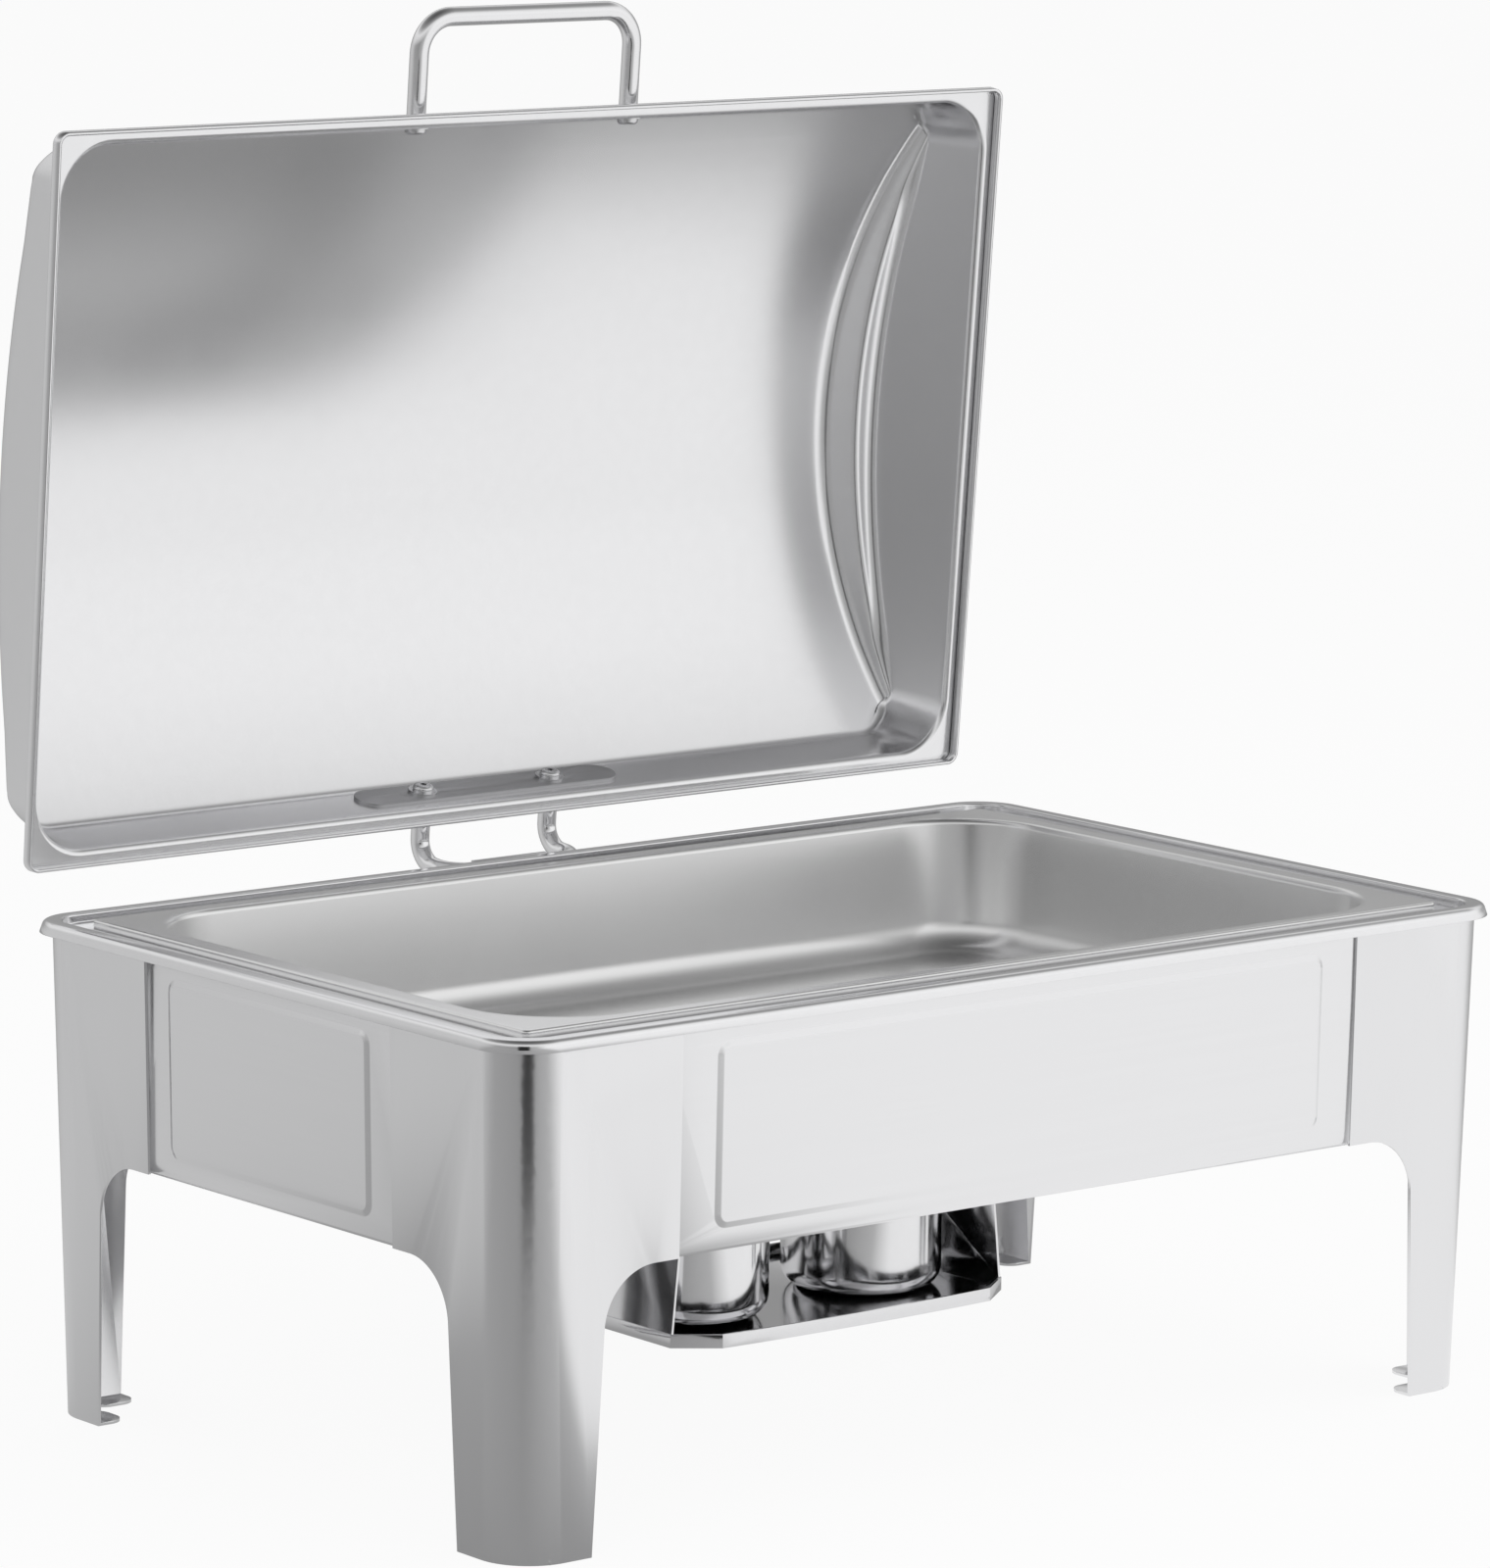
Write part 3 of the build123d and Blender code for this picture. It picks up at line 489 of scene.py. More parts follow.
@dataclass(frozen=True)
class Stainless:
    """One stainless steel finish: its tone, polish, grain and unevenness."""

    name: str
    tone: tuple[float, float, float]
    polish: float
    haze: float = 0.05
    grain: Grain = Grain.NONE
    grain_depth: float = 0.0
    tone_drift: float = 0.03
    wave: float = 0.0
    wave_scale: float = 6.0
    wipe_scale: float = 9.0

    @functools.cache
    def make(self) -> bpy.types.Material:
        """Build the material.

        Roughness is polish plus haze where wiping marks lie, the tone drifts with the grain, and
        two bumps add the brushed lines and the sheet's slow unevenness.

        Returns:
            The finished material, built once.
        """
        steel = bpy.data.materials.new(self.name)
        steel.use_nodes = True
        nodes, link = steel.node_tree.nodes, steel.node_tree.links.new
        skin = nodes["Principled BSDF"]
        set_inputs(skin, Metallic=1.0)
        place = nodes.new("ShaderNodeTexCoord")
        grain, wave = nodes.new("ShaderNodeGroup"), nodes.new("ShaderNodeGroup")
        grain.node_tree, wave.node_tree = grain_group(), wave_group()
        set_inputs(grain, Scale=self.grain.value)
        set_inputs(wave, Wave_Scale=self.wave_scale, Wipe_Scale=self.wipe_scale)
        link(place.outputs["Object"], grain.inputs["Vector"])
        link(place.outputs["Object"], wave.inputs["Vector"])
        tint = nodes.new("ShaderNodeMix")
        tint.data_type = "RGBA"
        dark = [c * (1 - self.tone_drift) for c in self.tone]
        light = [min(c * (1 + self.tone_drift), 1) for c in self.tone]
        tint.inputs["A"].default_value, tint.inputs["B"].default_value = (*dark, 1), (*light, 1)
        link(grain.outputs["Mask"], tint.inputs["Factor"])
        link(tint.outputs["Result"], skin.inputs["Base Color"])
        rough = nodes.new("ShaderNodeMath")
        rough.operation = "MULTIPLY_ADD"
        rough.inputs[1].default_value = self.haze
        rough.inputs[2].default_value = self.polish
        link(wave.outputs["Wipe"], rough.inputs[0])
        link(rough.outputs[0], skin.inputs["Roughness"])
        lines, slow = nodes.new("ShaderNodeBump"), nodes.new("ShaderNodeBump")
        set_inputs(lines, Strength=1.0, Distance=self.grain_depth * MM)
        set_inputs(slow, Strength=1.0, Distance=self.wave * MM)
        link(wave.outputs["Height"], slow.inputs["Height"])
        link(grain.outputs["Height"], lines.inputs["Height"])
        link(slow.outputs["Normal"], lines.inputs["Normal"])
        link(lines.outputs["Normal"], skin.inputs["Normal"])
        return steel


LEG_SATIN = Stainless(
    "satin_leg_steel", (0.84, 0.84, 0.85), 0.20, 0.02, Grain.UPRIGHT, 0.002, 0.02, 0.02, 5.0
)
SKIRT_SATIN = Stainless(
    "satin_skirt_steel", (0.86, 0.86, 0.87), 0.16, 0.02, Grain.ALONG_X, 0.002, 0.02, 0.02, 5.0
)
SIDE_SATIN = Stainless(
    "satin_side_steel", (0.86, 0.86, 0.87), 0.16, 0.02, Grain.ALONG_Y, 0.002, 0.02, 0.02, 5.0
)
WATER_POLISH = Stainless(
    "polished_water_pan", (0.90, 0.90, 0.91), 0.12, 0.04, wave=0.02, wave_scale=9.0
)
FOOD_BRUSHED = Stainless(
    "brushed_food_pan", (0.88, 0.88, 0.88), 0.24, 0.03, Grain.ALONG_X, 0.004, 0.03, 0.02, 7.0
)
HOOD_MIRROR = Stainless("mirror_hood", (0.88, 0.88, 0.89), 0.20, 0.03, wave=0.06, wave_scale=5.0)
BAR_POLISH = Stainless("polished_bar", (0.88, 0.88, 0.89), 0.08, 0.05, wave=0.01, wave_scale=30.0)
PLATE_DULL = Stainless("mill_strip", (0.50, 0.50, 0.51), 0.34, 0.08, Grain.ALONG_X, 0.006, 0.05)
BRACKET_DULL = Stainless("mill_bracket", (0.70, 0.70, 0.71), 0.30, 0.08, Grain.ALONG_X, 0.005, 0.05)
FASTENER = Stainless("bright_fasteners", (0.72, 0.72, 0.73), 0.18, 0.08, wave=0.01, wave_scale=60.0)
TRAY_MIRROR = Stainless("mirror_tray", (0.80, 0.80, 0.81), 0.08, 0.06, wave=0.06, wave_scale=10.0)
CUP_POLISH = Stainless("polished_cup", (0.84, 0.84, 0.85), 0.10, 0.06, wave=0.02, wave_scale=20.0)
DAMPER_DULL = Stainless("damper_plate", (0.70, 0.70, 0.71), 0.22, 0.08, Grain.ALONG_X, 0.004, 0.03)


def dress(piece: bpy.types.Object, finish: Stainless) -> None:
    """Give a piece one finish all over."""
    steel = finish.make()
    if piece.material_slots:
        for slot in piece.material_slots:
            slot.material = steel
    else:
        piece.data.materials.append(steel)


def mount(piece: bpy.types.Object, body: str, slot: str, finish: Stainless, *nodes: str) -> None:
    """Dress a finished piece, let it ride on its body and stand for its CAD nodes.

    Args:
        piece: the finished mesh.
        body: the CAD body that carries it.
        slot: a material slot's name; not used.
        finish: its finish.
        nodes: the CAD nodes it stands for.
    """
    dress(piece, finish)
    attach(piece, body)
    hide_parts(*nodes)
    LOG.info("%s: %d faces on %s", piece.name, len(piece.data.polygons), body)


# --- Stand --------------------------------------------------------------------------------------


@dataclass
class Stand:
    """Four folded corner legs, four pressed skirts and the hinge bracket behind."""

    leg_edge: float = 0.25
    skirt_edge: float = 0.30
    pressed_angle: float = 13.0
    bracket_edge: float = 0.30

    def build(self) -> None:
        """Copy every folded sheet with soft edges and dress it."""
        for place in ("front_left", "front_right", "rear_left", "rear_right"):
            leg = cad_copy(f"corner_leg_{place}", f"leg_{place}", self.leg_edge)
            mount(leg, "stand", "leg_steel", LEG_SATIN, f"leg_{place}")
        long_sides, ends = ("front", "rear"), ("left", "right")
        for place in long_sides + ends:
            name, node = f"pressed_skirt_{place}", f"skirt_{place}"
            panel = cad_copy(name, node, self.skirt_edge, self.pressed_angle)
            mount(panel, "stand", "skirt_steel", SIDE_SATIN if place in ends else SKIRT_SATIN, node)
        bracket = cad_copy("rod_bracket", "hinge_bracket", self.bracket_edge)
        mount(bracket, "stand", "bracket_steel", BRACKET_DULL, "hinge_bracket")
        dress(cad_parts["hinge_rivets"], FASTENER)


# --- Pans ---------------------------------------------------------------------------------------


@dataclass
class WaterPan:
    """The water pan: rolled rim, flat border, gutter and a deep well."""

    sheet: float = 0.8
    rim: tuple[float, float, float] = (289.1, 186.0, 25.0)
    rim_top: float = 228.5
    lip_drop: float = 5.3
    lip_flare: float = 1.8
    rim_bend: float = 2.6
    recess: tuple[float, float, float] = (279.1, 176.6, 17.0)
    ledge: float = 224.2
    well: tuple[float, float, float] = (258.0, 156.5, 52.0)
    floor: float = 142.8
    draft: float = 5.0
    floor_bend: float = 16.0
    edge_bend: float = 0.9
    well_bend: float = 2.2
    border: float = 6.5
    recess_border: float = 2.6
    ledge_width: float = 3.0
    well_border: float = 4.0

    def stations(self) -> np.ndarray:
        """Rings from the lip's lower edge, over the rim and down to the floor.

        Each profile is a rounded line of inset against height, from its own outline.

        Returns:
            Half length, half width, corner and height of each ring, shape (k, 4).
        """
        lip = rounded(
            [
                (0, self.rim_top - self.lip_drop),
                (self.lip_flare, self.rim_top),
                (self.border, self.rim_top),
            ],
            [self.rim_bend],
        )
        drop = rounded(
            [
                (-self.recess_border, self.rim_top),
                (0, self.rim_top),
                (0, self.ledge),
                (self.ledge_width, self.ledge),
            ],
            [self.edge_bend, self.edge_bend],
        )
        bends = [self.well_bend, self.floor_bend]
        fall = drawn_well(self.ledge, self.floor, self.draft, bends, self.well_border)
        outlines = ((self.rim, lip), (self.recess, drop), (self.well, fall))
        return np.concatenate([inset_rings(outline, line) for outline, line in outlines])

    def build(self) -> None:
        """Make the pan's upper skin, give it its sheet and dress it."""
        pan = sheet_pan("drawn_water_pan", self.stations())
        thicken(pan, self.sheet)
        mount(pan, "water_pan_body", "water_pan_steel", WATER_POLISH, "water_pan")


@dataclass
class FoodPan:
    """The gastronorm food pan: turned-down edge, flat flange and a deep well."""

    sheet: float = 0.8
    flange: tuple[float, float, float] = (265.0, 162.5, 3.0)
    top: float = 228.5
    foot: float = 224.25
    well: tuple[float, float, float] = (252.0, 152.6, 47.0)
    depth: float = 65.0
    draft: float = 5.0
    floor_bend: float = 16.0
    mouth_bend: float = 3.0
    edge_bend: float = 1.2
    edge_width: float = 2.4
    border: float = 5.0

    def stations(self) -> np.ndarray:
        """Rings from the flange's turned edge to the floor, as the water pan's are made.

        Returns:
            Half length, half width, corner and height of each ring, shape (k, 4).
        """
        line = [(0, self.foot), (0, self.top), (self.edge_width, self.top)]
        edge = inset_rings(self.flange, rounded(line, [self.edge_bend]))
        edge[:, 2] = np.maximum(edge[:, 2], 1.0)
        floor = self.top - self.depth + self.sheet
        bends = [self.mouth_bend, self.floor_bend]
        fall = drawn_well(self.top, floor, self.draft, bends, self.border)
        return np.concatenate([edge, inset_rings(self.well, fall)])

    def build(self) -> None:
        """Make the pan's upper skin, give it its sheet and dress it."""
        pan = sheet_pan("gastronorm_pan", self.stations())
        thicken(pan, self.sheet)
        mount(pan, "food_pan_body", "food_pan_steel", FOOD_BRUSHED, "food_pan")


# --- Hood ---------------------------------------------------------------------------------------


@dataclass
class Hood:
    """The deep-drawn hood with its bars, washers and backing plate, swung open on its hinge."""

    hinge: tuple[float, float] = (193.6, 221.7)
    seat: float = 229.8
    open_angle: float = 85.35
    half: tuple[float, float] = (277.35, 170.15)
    corner: float = 6.0
    sheet: float = 0.8
    lip: float = 5.0
    hem_insets: tuple[float, float] = (1.2, 0.8)
    hem_bends: tuple[float, float, float] = (0.19, 0.19, 0.7)
    mouth_inset: float = 7.0
    mouth_corner: float = 26.0
    mouth_bend: float = 3.3
    long_draft: float = 7.0
    end_draft: float = 10.0
    spring: float = 30.0
    shoulder: float = 58.0
    crown: float = 75.0
    fade: float = 4.0
    step_foot: float = 27.0
    step_slope: float = 28.6
    crown_bend: float = 8.0
    foot_bend: float = 4.0
    wall_bend: float = 6.0
    bar_radius: float = 4.5
    fix_depth: float = 19.0
    handle: tuple[float, float, float] = (62.5, 41.7, 17.0)
    hinge_bar: tuple[float, float] = (38.0, 12.0)
    plate_edge: float = 0.3

    def place(self, local: np.ndarray) -> np.ndarray:
        """Carry points from the hood's own axes to the dish's.

        A point (x, y, z) is first moved to the shut hood, (x, y, seat + z), then turned about the
        hinge by the opening angle.

        Args:
            local: points with +Y to the hinge and +Z into the hood, shape (..., 3).

        Returns:
            Points in the dish's axes, shape (..., 3).
        """
        angle = -math.radians(self.open_angle)
        y = local[..., 1] - self.hinge[0]
        z = local[..., 2] + self.seat - self.hinge[1]
        back = MIDDLE_Y + self.hinge[0] + y * math.cos(angle) - z * math.sin(angle)
        up = self.hinge[1] + y * math.sin(angle) + z * math.cos(angle)
        return np.stack([local[..., 0], back, up], -1)

    def arch(self, y: np.ndarray, spring: float, rise: float) -> np.ndarray:
        """Depth of an arch across the hood: a circle through its two springs and its peak."""
        lean = self.spring * math.tan(math.radians(self.long_draft))
        half = self.half[1] - self.mouth_inset - lean
        sag = rise - spring
        radius = (half**2 + sag**2) / (2 * sag)
        return rise - radius + np.sqrt(np.maximum(radius**2 - y**2, 0))

    def roof(self, flat: np.ndarray) -> np.ndarray:
        """Depth of the roof over points in plan.

        Away from the ends it is the crown's arch. Near an end it goes down a slope to the
        shoulder's arch, and both edges of the slope are rounded by arcs, smaller where the two
        arches draw together.

        Args:
            flat: points in the hood's plan, shape (..., 2).

        Returns:
            Depths, with the shape of one coordinate.
        """
        out = np.abs(flat[..., 0])
        high = self.arch(flat[..., 1], self.spring, self.crown)
        low = self.arch(flat[..., 1], self.spring - self.fade, self.shoulder)
        steep = math.radians(90 - self.step_slope)
        drop = high - low
        whole = (self.crown_bend + self.foot_bend) * (1 - math.cos(steep))
        scale = np.minimum(1.0, 0.92 * drop / whole)
        top_r, foot_r = self.crown_bend * scale, self.foot_bend * scale
        edge = self.half[0] - self.step_foot + (self.shoulder - high) / math.tan(steep)
        run = out - edge
        reach = top_r * math.tan(steep / 2)
        foot_at = drop / math.tan(steep)
        foot_reach = foot_r * math.tan(steep / 2)
        top_arc = np.sqrt(np.maximum(top_r**2 - np.clip(run + reach, 0, None) ** 2, 0)) - top_r
        left_over = np.clip(foot_at + foot_reach - run, 0, None)
        foot_arc = foot_r - drop - np.sqrt(np.maximum(foot_r**2 - left_over**2, 0))
        slope = -run * math.tan(steep)
        z = np.where(run < -reach, 0.0, np.where(run < reach * math.cos(steep), top_arc, slope))
        z = np.where(run > foot_at - foot_reach * math.cos(steep), foot_arc, z)
        z = np.where(run > foot_at + foot_reach, -drop, z)
        return high + z

    def wall(self, u: np.ndarray, v: np.ndarray, depth: np.ndarray) -> np.ndarray:
        """Plan points of the drafted wall at a depth, for samples round its outline."""
        ends = self.mouth_inset + depth * math.tan(math.radians(self.end_draft))
        sides = self.mouth_inset + depth * math.tan(math.radians(self.long_draft))
        corner = self.mouth_corner - sides + self.mouth_inset
        return Plan.place(u, v, self.half[0] - ends, self.half[1] - sides, corner)

    def skin(self) -> tuple[np.ndarray, np.ndarray]:
        """The hood's inner face, as rings from the hem to the roof and a grid over the roof.

        Each straight line up the wall meets the roof where its depth equals the roof's. An arc of
        the wall's bend radius, tangent to both there, joins them: with unit directions a down the
        wall and b along the roof and half their angle h, its centre is the meeting point plus
        (a + b) / |a + b| * r / sin h. The grid inside is a Coons patch of the arc's upper ends,
        lifted to the roof.

        Returns:
            The rings, shape (k, ring, 3), and the grid, shape (m, n, 3), in the hood's axes.
        """
        plan = self.plan()
        u, v = plan.ring()
        (inner, outer), low = self.hem_insets, 0.2 - self.lip
        line = [(inner, -1.0), (inner, low), (outer, low), (outer, 0.0), (3.5, 0.0)]
        hem = rounded(line, self.hem_bends, 4)
        hem[:, 1] = np.maximum(hem[:, 1], -self.lip + self.sheet)
        lip = inset_rings((*self.half, self.corner), hem)
        lip[:, 2] = np.maximum(lip[:, 2], self.sheet)
        rings = [plan.walls(lip)]
        side = math.radians(90 - (self.long_draft + self.end_draft) / 2)
        reach = self.mouth_bend * math.tan(side / 2)
        turn = np.linspace(0, side, 9)
        inset = self.mouth_inset - reach + self.mouth_bend * np.sin(turn)
        depth = self.mouth_bend * (1 - np.cos(turn))
        outline = (*self.half, self.mouth_corner + self.mouth_inset)
        rings.append(plan.walls(inset_rings(outline, np.column_stack([inset, depth]))))
        meet = np.full(u.shape, self.spring)
        for _ in range(40):
            meet = 0.5 * meet + 0.5 * self.roof(self.wall(u, v, meet))
        shallow = np.full(u.shape, 8.0)
        foot, top = self.wall(u, v, shallow), self.wall(u, v, meet)
        corner = np.column_stack([top, meet])
        down = np.column_stack([foot, shallow]) - corner
        down /= np.linalg.norm(down, axis=1, keepdims=True)
        ahead = np.roll(top, -1, 0) - np.roll(top, 1, 0)
        ahead /= np.linalg.norm(ahead, axis=1, keepdims=True)
        inward = np.column_stack([-ahead[:, 1], ahead[:, 0]])
        rise = (self.roof(top + 2.0 * inward) - self.roof(top + 1.0 * inward))[:, None]
        along = np.column_stack([inward, rise])
        along /= np.linalg.norm(along, axis=1, keepdims=True)
        half = np.arccos(np.clip((down * along).sum(1), -1, 1))[:, None] / 2
        middle = (down + along) / np.linalg.norm(down + along, axis=1, keepdims=True)
        centre = corner + middle * self.wall_bend / np.sin(half)
        first = corner + down * self.wall_bend / np.tan(half) - centre
        last = corner + along * self.wall_bend / np.tan(half) - centre
        share = np.linspace(0, 1, 11)[:, None, None]
        whole = math.pi - 2 * half[None]
        swung = np.sin((1 - share) * whole) * first + np.sin(share * whole) * last
        bend = centre + swung / np.sin(whole)
        miss = self.roof(bend[-1, :, :2]) - bend[-1, :, 2]
        bend[..., 2] += share[..., 0] ** 3 * miss
        start = rings[-1][-1]
        climb = np.linspace(0, 1, 14)[1:-1, None, None]
        rings.append(start + (bend[0] - start) * climb)
        rings.append(bend)
        return np.concatenate(rings), self.patch(plan, bend[-1])

    def plan(self) -> Plan:
        """Samples that crowd where the crown's ends step down."""
        bend = np.linspace(1, 2, 27)[1:]
        crowd = 0.93
        low, high = np.linspace(-1, -crowd, 8)[:-1], np.linspace(crowd, 1, 8)[1:]
        x = np.concatenate([low, np.linspace(-crowd, crowd, 61), high])
        y = np.linspace(-1, 1, 49)
        soft = np.linspace(1, 2, 15)[1:]
        return Plan(np.concatenate([-bend[::-1], x, bend]), np.concatenate([-soft[::-1], y, soft]))

    def patch(self, plan: Plan, edge: np.ndarray) -> np.ndarray:
        """Fill the roof inside its edge: a Coons patch in plan, lifted to the roof's depth.

        P(s, t) = (1 - t) low + t high + (1 - s) left + s right - the bilinear corner term.

        Args:
            plan: the samples of the edge.
            edge: the edge's points in ring order, shape (ring, 3).

        Returns:
            Points, shape (across, along, 3).
        """
        columns, rows = plan.along.size, plan.across.size
        closed = np.concatenate([edge, edge[:1]])[:, :2]
        low = closed[:columns]
        right = closed[columns - 1:columns + rows - 1]
        high = closed[columns + rows - 2:2 * columns + rows - 2][::-1]
        left = closed[2 * columns + rows - 3:][::-1]
        s = ((low[:, 0] - low[0, 0]) / (low[-1, 0] - low[0, 0]))[None, :, None]
        t = ((right[:, 1] - right[0, 1]) / (right[-1, 1] - right[0, 1]))[:, None, None]
        sides = (1 - t) * low[None] + t * high[None] + (1 - s) * left[:, None] + s * right[:, None]
        low_corners = (1 - s) * (1 - t) * low[0] + s * (1 - t) * low[-1]
        high_corners = (1 - s) * t * high[0] + s * t * high[-1]
        flat = sides - low_corners - high_corners
        return np.concatenate([flat, self.roof(flat)[..., None]], -1)

    def shell(self) -> bpy.types.Object:
        """Make the hood's sheet from its inner face."""
        rings, grid = self.skin()
        rings, grid = self.place(rings), self.place(grid)
        count = rings.shape[0] * rings.shape[1]
        faces = grid_faces(rings.shape[0], rings.shape[1], True).tolist()
        faces += grid_faces(grid.shape[0], grid.shape[1], False, count).tolist()
        points = np.concatenate([rings.reshape(-1, 3), grid.reshape(-1, 3)])
        shell = mesh_object("drawn_hood", points, faces)
        weld(shell, 2e-5)
        thicken(shell, self.sheet)
        return shell

    def face_inwards(self, shell: bpy.types.Object) -> None:
        """Turn the skin's faces to the hollow, so that the sheet grows outwards."""
        mesh = shell.data
        centre = Vector(self.place(np.array([0.0, 0.0, 5.0])) * MM)
        roof = max(mesh.polygons, key=lambda p: p.center.y)
        if roof.normal.dot(centre - roof.center) < 0:
            mesh.flip_normals()

    def bars(self) -> None:
        """Make the front handle and the rear hinge rod."""
        x, reach, bend = self.handle
        lean = self.fix_depth * math.tan(math.radians(self.long_draft))
        wall = self.half[1] - self.mouth_inset - lean + self.sheet / 2
        far = -self.half[1] - reach
        z = self.fix_depth
        route = np.array([(-x, -wall, z), (-x, far, z), (x, far, z), (x, -wall, z)])
        grip = tube("bent_handle", self.place(bent_route(route, bend)), self.bar_radius)
        mount(grip, "hood", "rod_steel", BAR_POLISH, "front_handle")
        x, bend = self.hinge_bar
        far, low = self.hinge[0], self.hinge[1] - self.seat
        left = [(-x, wall, z), (-x, far, z), (-x, far, low)]
        route = np.array(left + [(x, far, low), (x, far, z), (x, wall, z)])
        rod = tube("bent_hinge_rod", self.place(bent_route(route, bend, 10, 12)), self.bar_radius)
        mount(rod, "hood", "rod_steel", BAR_POLISH, "hinge_rod")

    def build(self) -> None:
        """Make the hood and everything that rides on it."""
        shell = self.shell()
        self.face_inwards(shell)
        mount(shell, "hood", "hood_steel", HOOD_MIRROR, "lid_shell")
        self.bars()
        plate = cad_copy("inner_strip", "backing_plate", self.plate_edge)
        mount(plate, "hood", "plate_steel", PLATE_DULL, "backing_plate")
        for node in ("handle_screws", "handle_washers", "hinge_screws", "hinge_washers"):
            dress(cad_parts[node], FASTENER)


# --- Fuel tray and cups -------------------------------------------------------------------------


@dataclass
class FuelStation:
    """The hung tray with its two fuel cups, ring covers and swivel dampers."""

    tray_edge: float = 0.3
    cup_x: float = 51.5
    cup_y: float = -5.0
    floor: float = 47.8
    radius: float = 37.5
    height: float = 48.0
    wall: float = 0.8
    foot_bend: float = 10.0
    drop: float = 7.0
    cover: float = 1.0
    sleeve_gap: float = 0.06
    flame: float = 17.0
    damper_edge: float = 0.2

    def cup_profile(self) -> np.ndarray:
        """Radius and height of a drawn cup: out, up, over the edge and down inside."""
        low, top = self.floor, self.floor + self.height
        inner, base = self.radius - self.wall, self.floor + self.wall
        outside = [(0, low), (self.radius, low), (self.radius, top)]
        inside = [(inner, top), (inner, base), (0, base)]
        lip = self.wall * 0.45
        bends = [self.foot_bend, lip, lip, self.foot_bend - self.wall]
        return rounded(outside + inside, bends, 10)

    def cover_profile(self) -> np.ndarray:
        """Radius and height of a push-on ring cover, closed on itself."""
        top = self.floor + self.height + self.cover
        sleeve = self.radius + self.sleeve_gap
        out, low = sleeve + self.cover, self.floor + self.height - self.drop
        seam, under = (sleeve, low + 1.0), top - self.cover
        outside = [seam, (sleeve, low), (out, low), (out, top)]
        inside = [(self.flame, top), (self.flame, under), (sleeve, under), seam]
        return rounded(outside + inside, [0.2, 0.3, self.cover, 0.35, 0.35, 0.2], 6)

    def build(self) -> None:
        """Make the tray, the cups and their covers, and dress the dampers."""
        tray = cad_copy("hung_tray", "fuel_tray", self.tray_edge)
        mount(tray, "tray", "tray_steel", TRAY_MIRROR, "fuel_tray")
        for name, side in (("left", -1), ("right", 1)):
            centre = (side * self.cup_x, MIDDLE_Y + self.cup_y)
            cup = revolve(f"drawn_cup_{name}", self.cup_profile(), centre)
            mount(cup, f"cup_{name}", "cup_steel", CUP_POLISH, f"fuel_cup_{name}")
            ring = revolve(f"ring_cover_{name}", self.cover_profile(), centre)
            mount(ring, f"cover_{name}", "cup_steel", CUP_POLISH, f"cup_cover_{name}")
            plate = cad_copy(f"swivel_plate_{name}", f"damper_{name}", self.damper_edge)
            mount(plate, f"swivel_{name}", "damper_steel", DAMPER_DULL, f"damper_{name}")
            dress(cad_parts[f"damper_rivet_{name}"], FASTENER)


# --- Table, light and camera --------------------------------------------------------------------


Tones = tuple[tuple[float, float], ...]


@dataclass(frozen=True)
class Lamp:
    """A square soft lamp that looks at the dish, with its place and size in metres."""

    name: str
    spot: tuple[float, float, float]
    size: float
    power: float

    def hang(self) -> None:
        """Put the lamp in the scene, out of the steel's reflections."""
        light = bpy.data.lights.new(self.name, "AREA")
        light.size = self.size
        light.energy = self.power
        held = bpy.data.objects.new(self.name, light)
        held.location = self.spot
        aim = Vector((0, 0, 0.25)) - Vector(self.spot)
        held.rotation_euler = aim.to_track_quat("-Z", "Y").to_euler()
        held.visible_glossy = False
        bpy.context.scene.collection.objects.link(held)


LAMPS = (
    Lamp("overhead", (0.3, -0.4, 2.8), 2.4, 26.0),
    Lamp("front_left", (-2.6, -2.2, 2.0), 1.8, 20.0),
    Lamp("front_right", (2.8, -1.8, 1.6), 1.6, 14.0),
)


def fill_ramp(ramp: bpy.types.Node, tones: Tones) -> None:
    """Give a colour ramp its stops, each a place from 0 to 1 and a grey tone."""
    stops = ramp.color_ramp.elements
    while len(stops) < len(tones):
        stops.new(0.5)
    for stop, (at, tone) in zip(stops, tones):
        stop.position = at
        stop.color = (tone, tone, tone, 1)


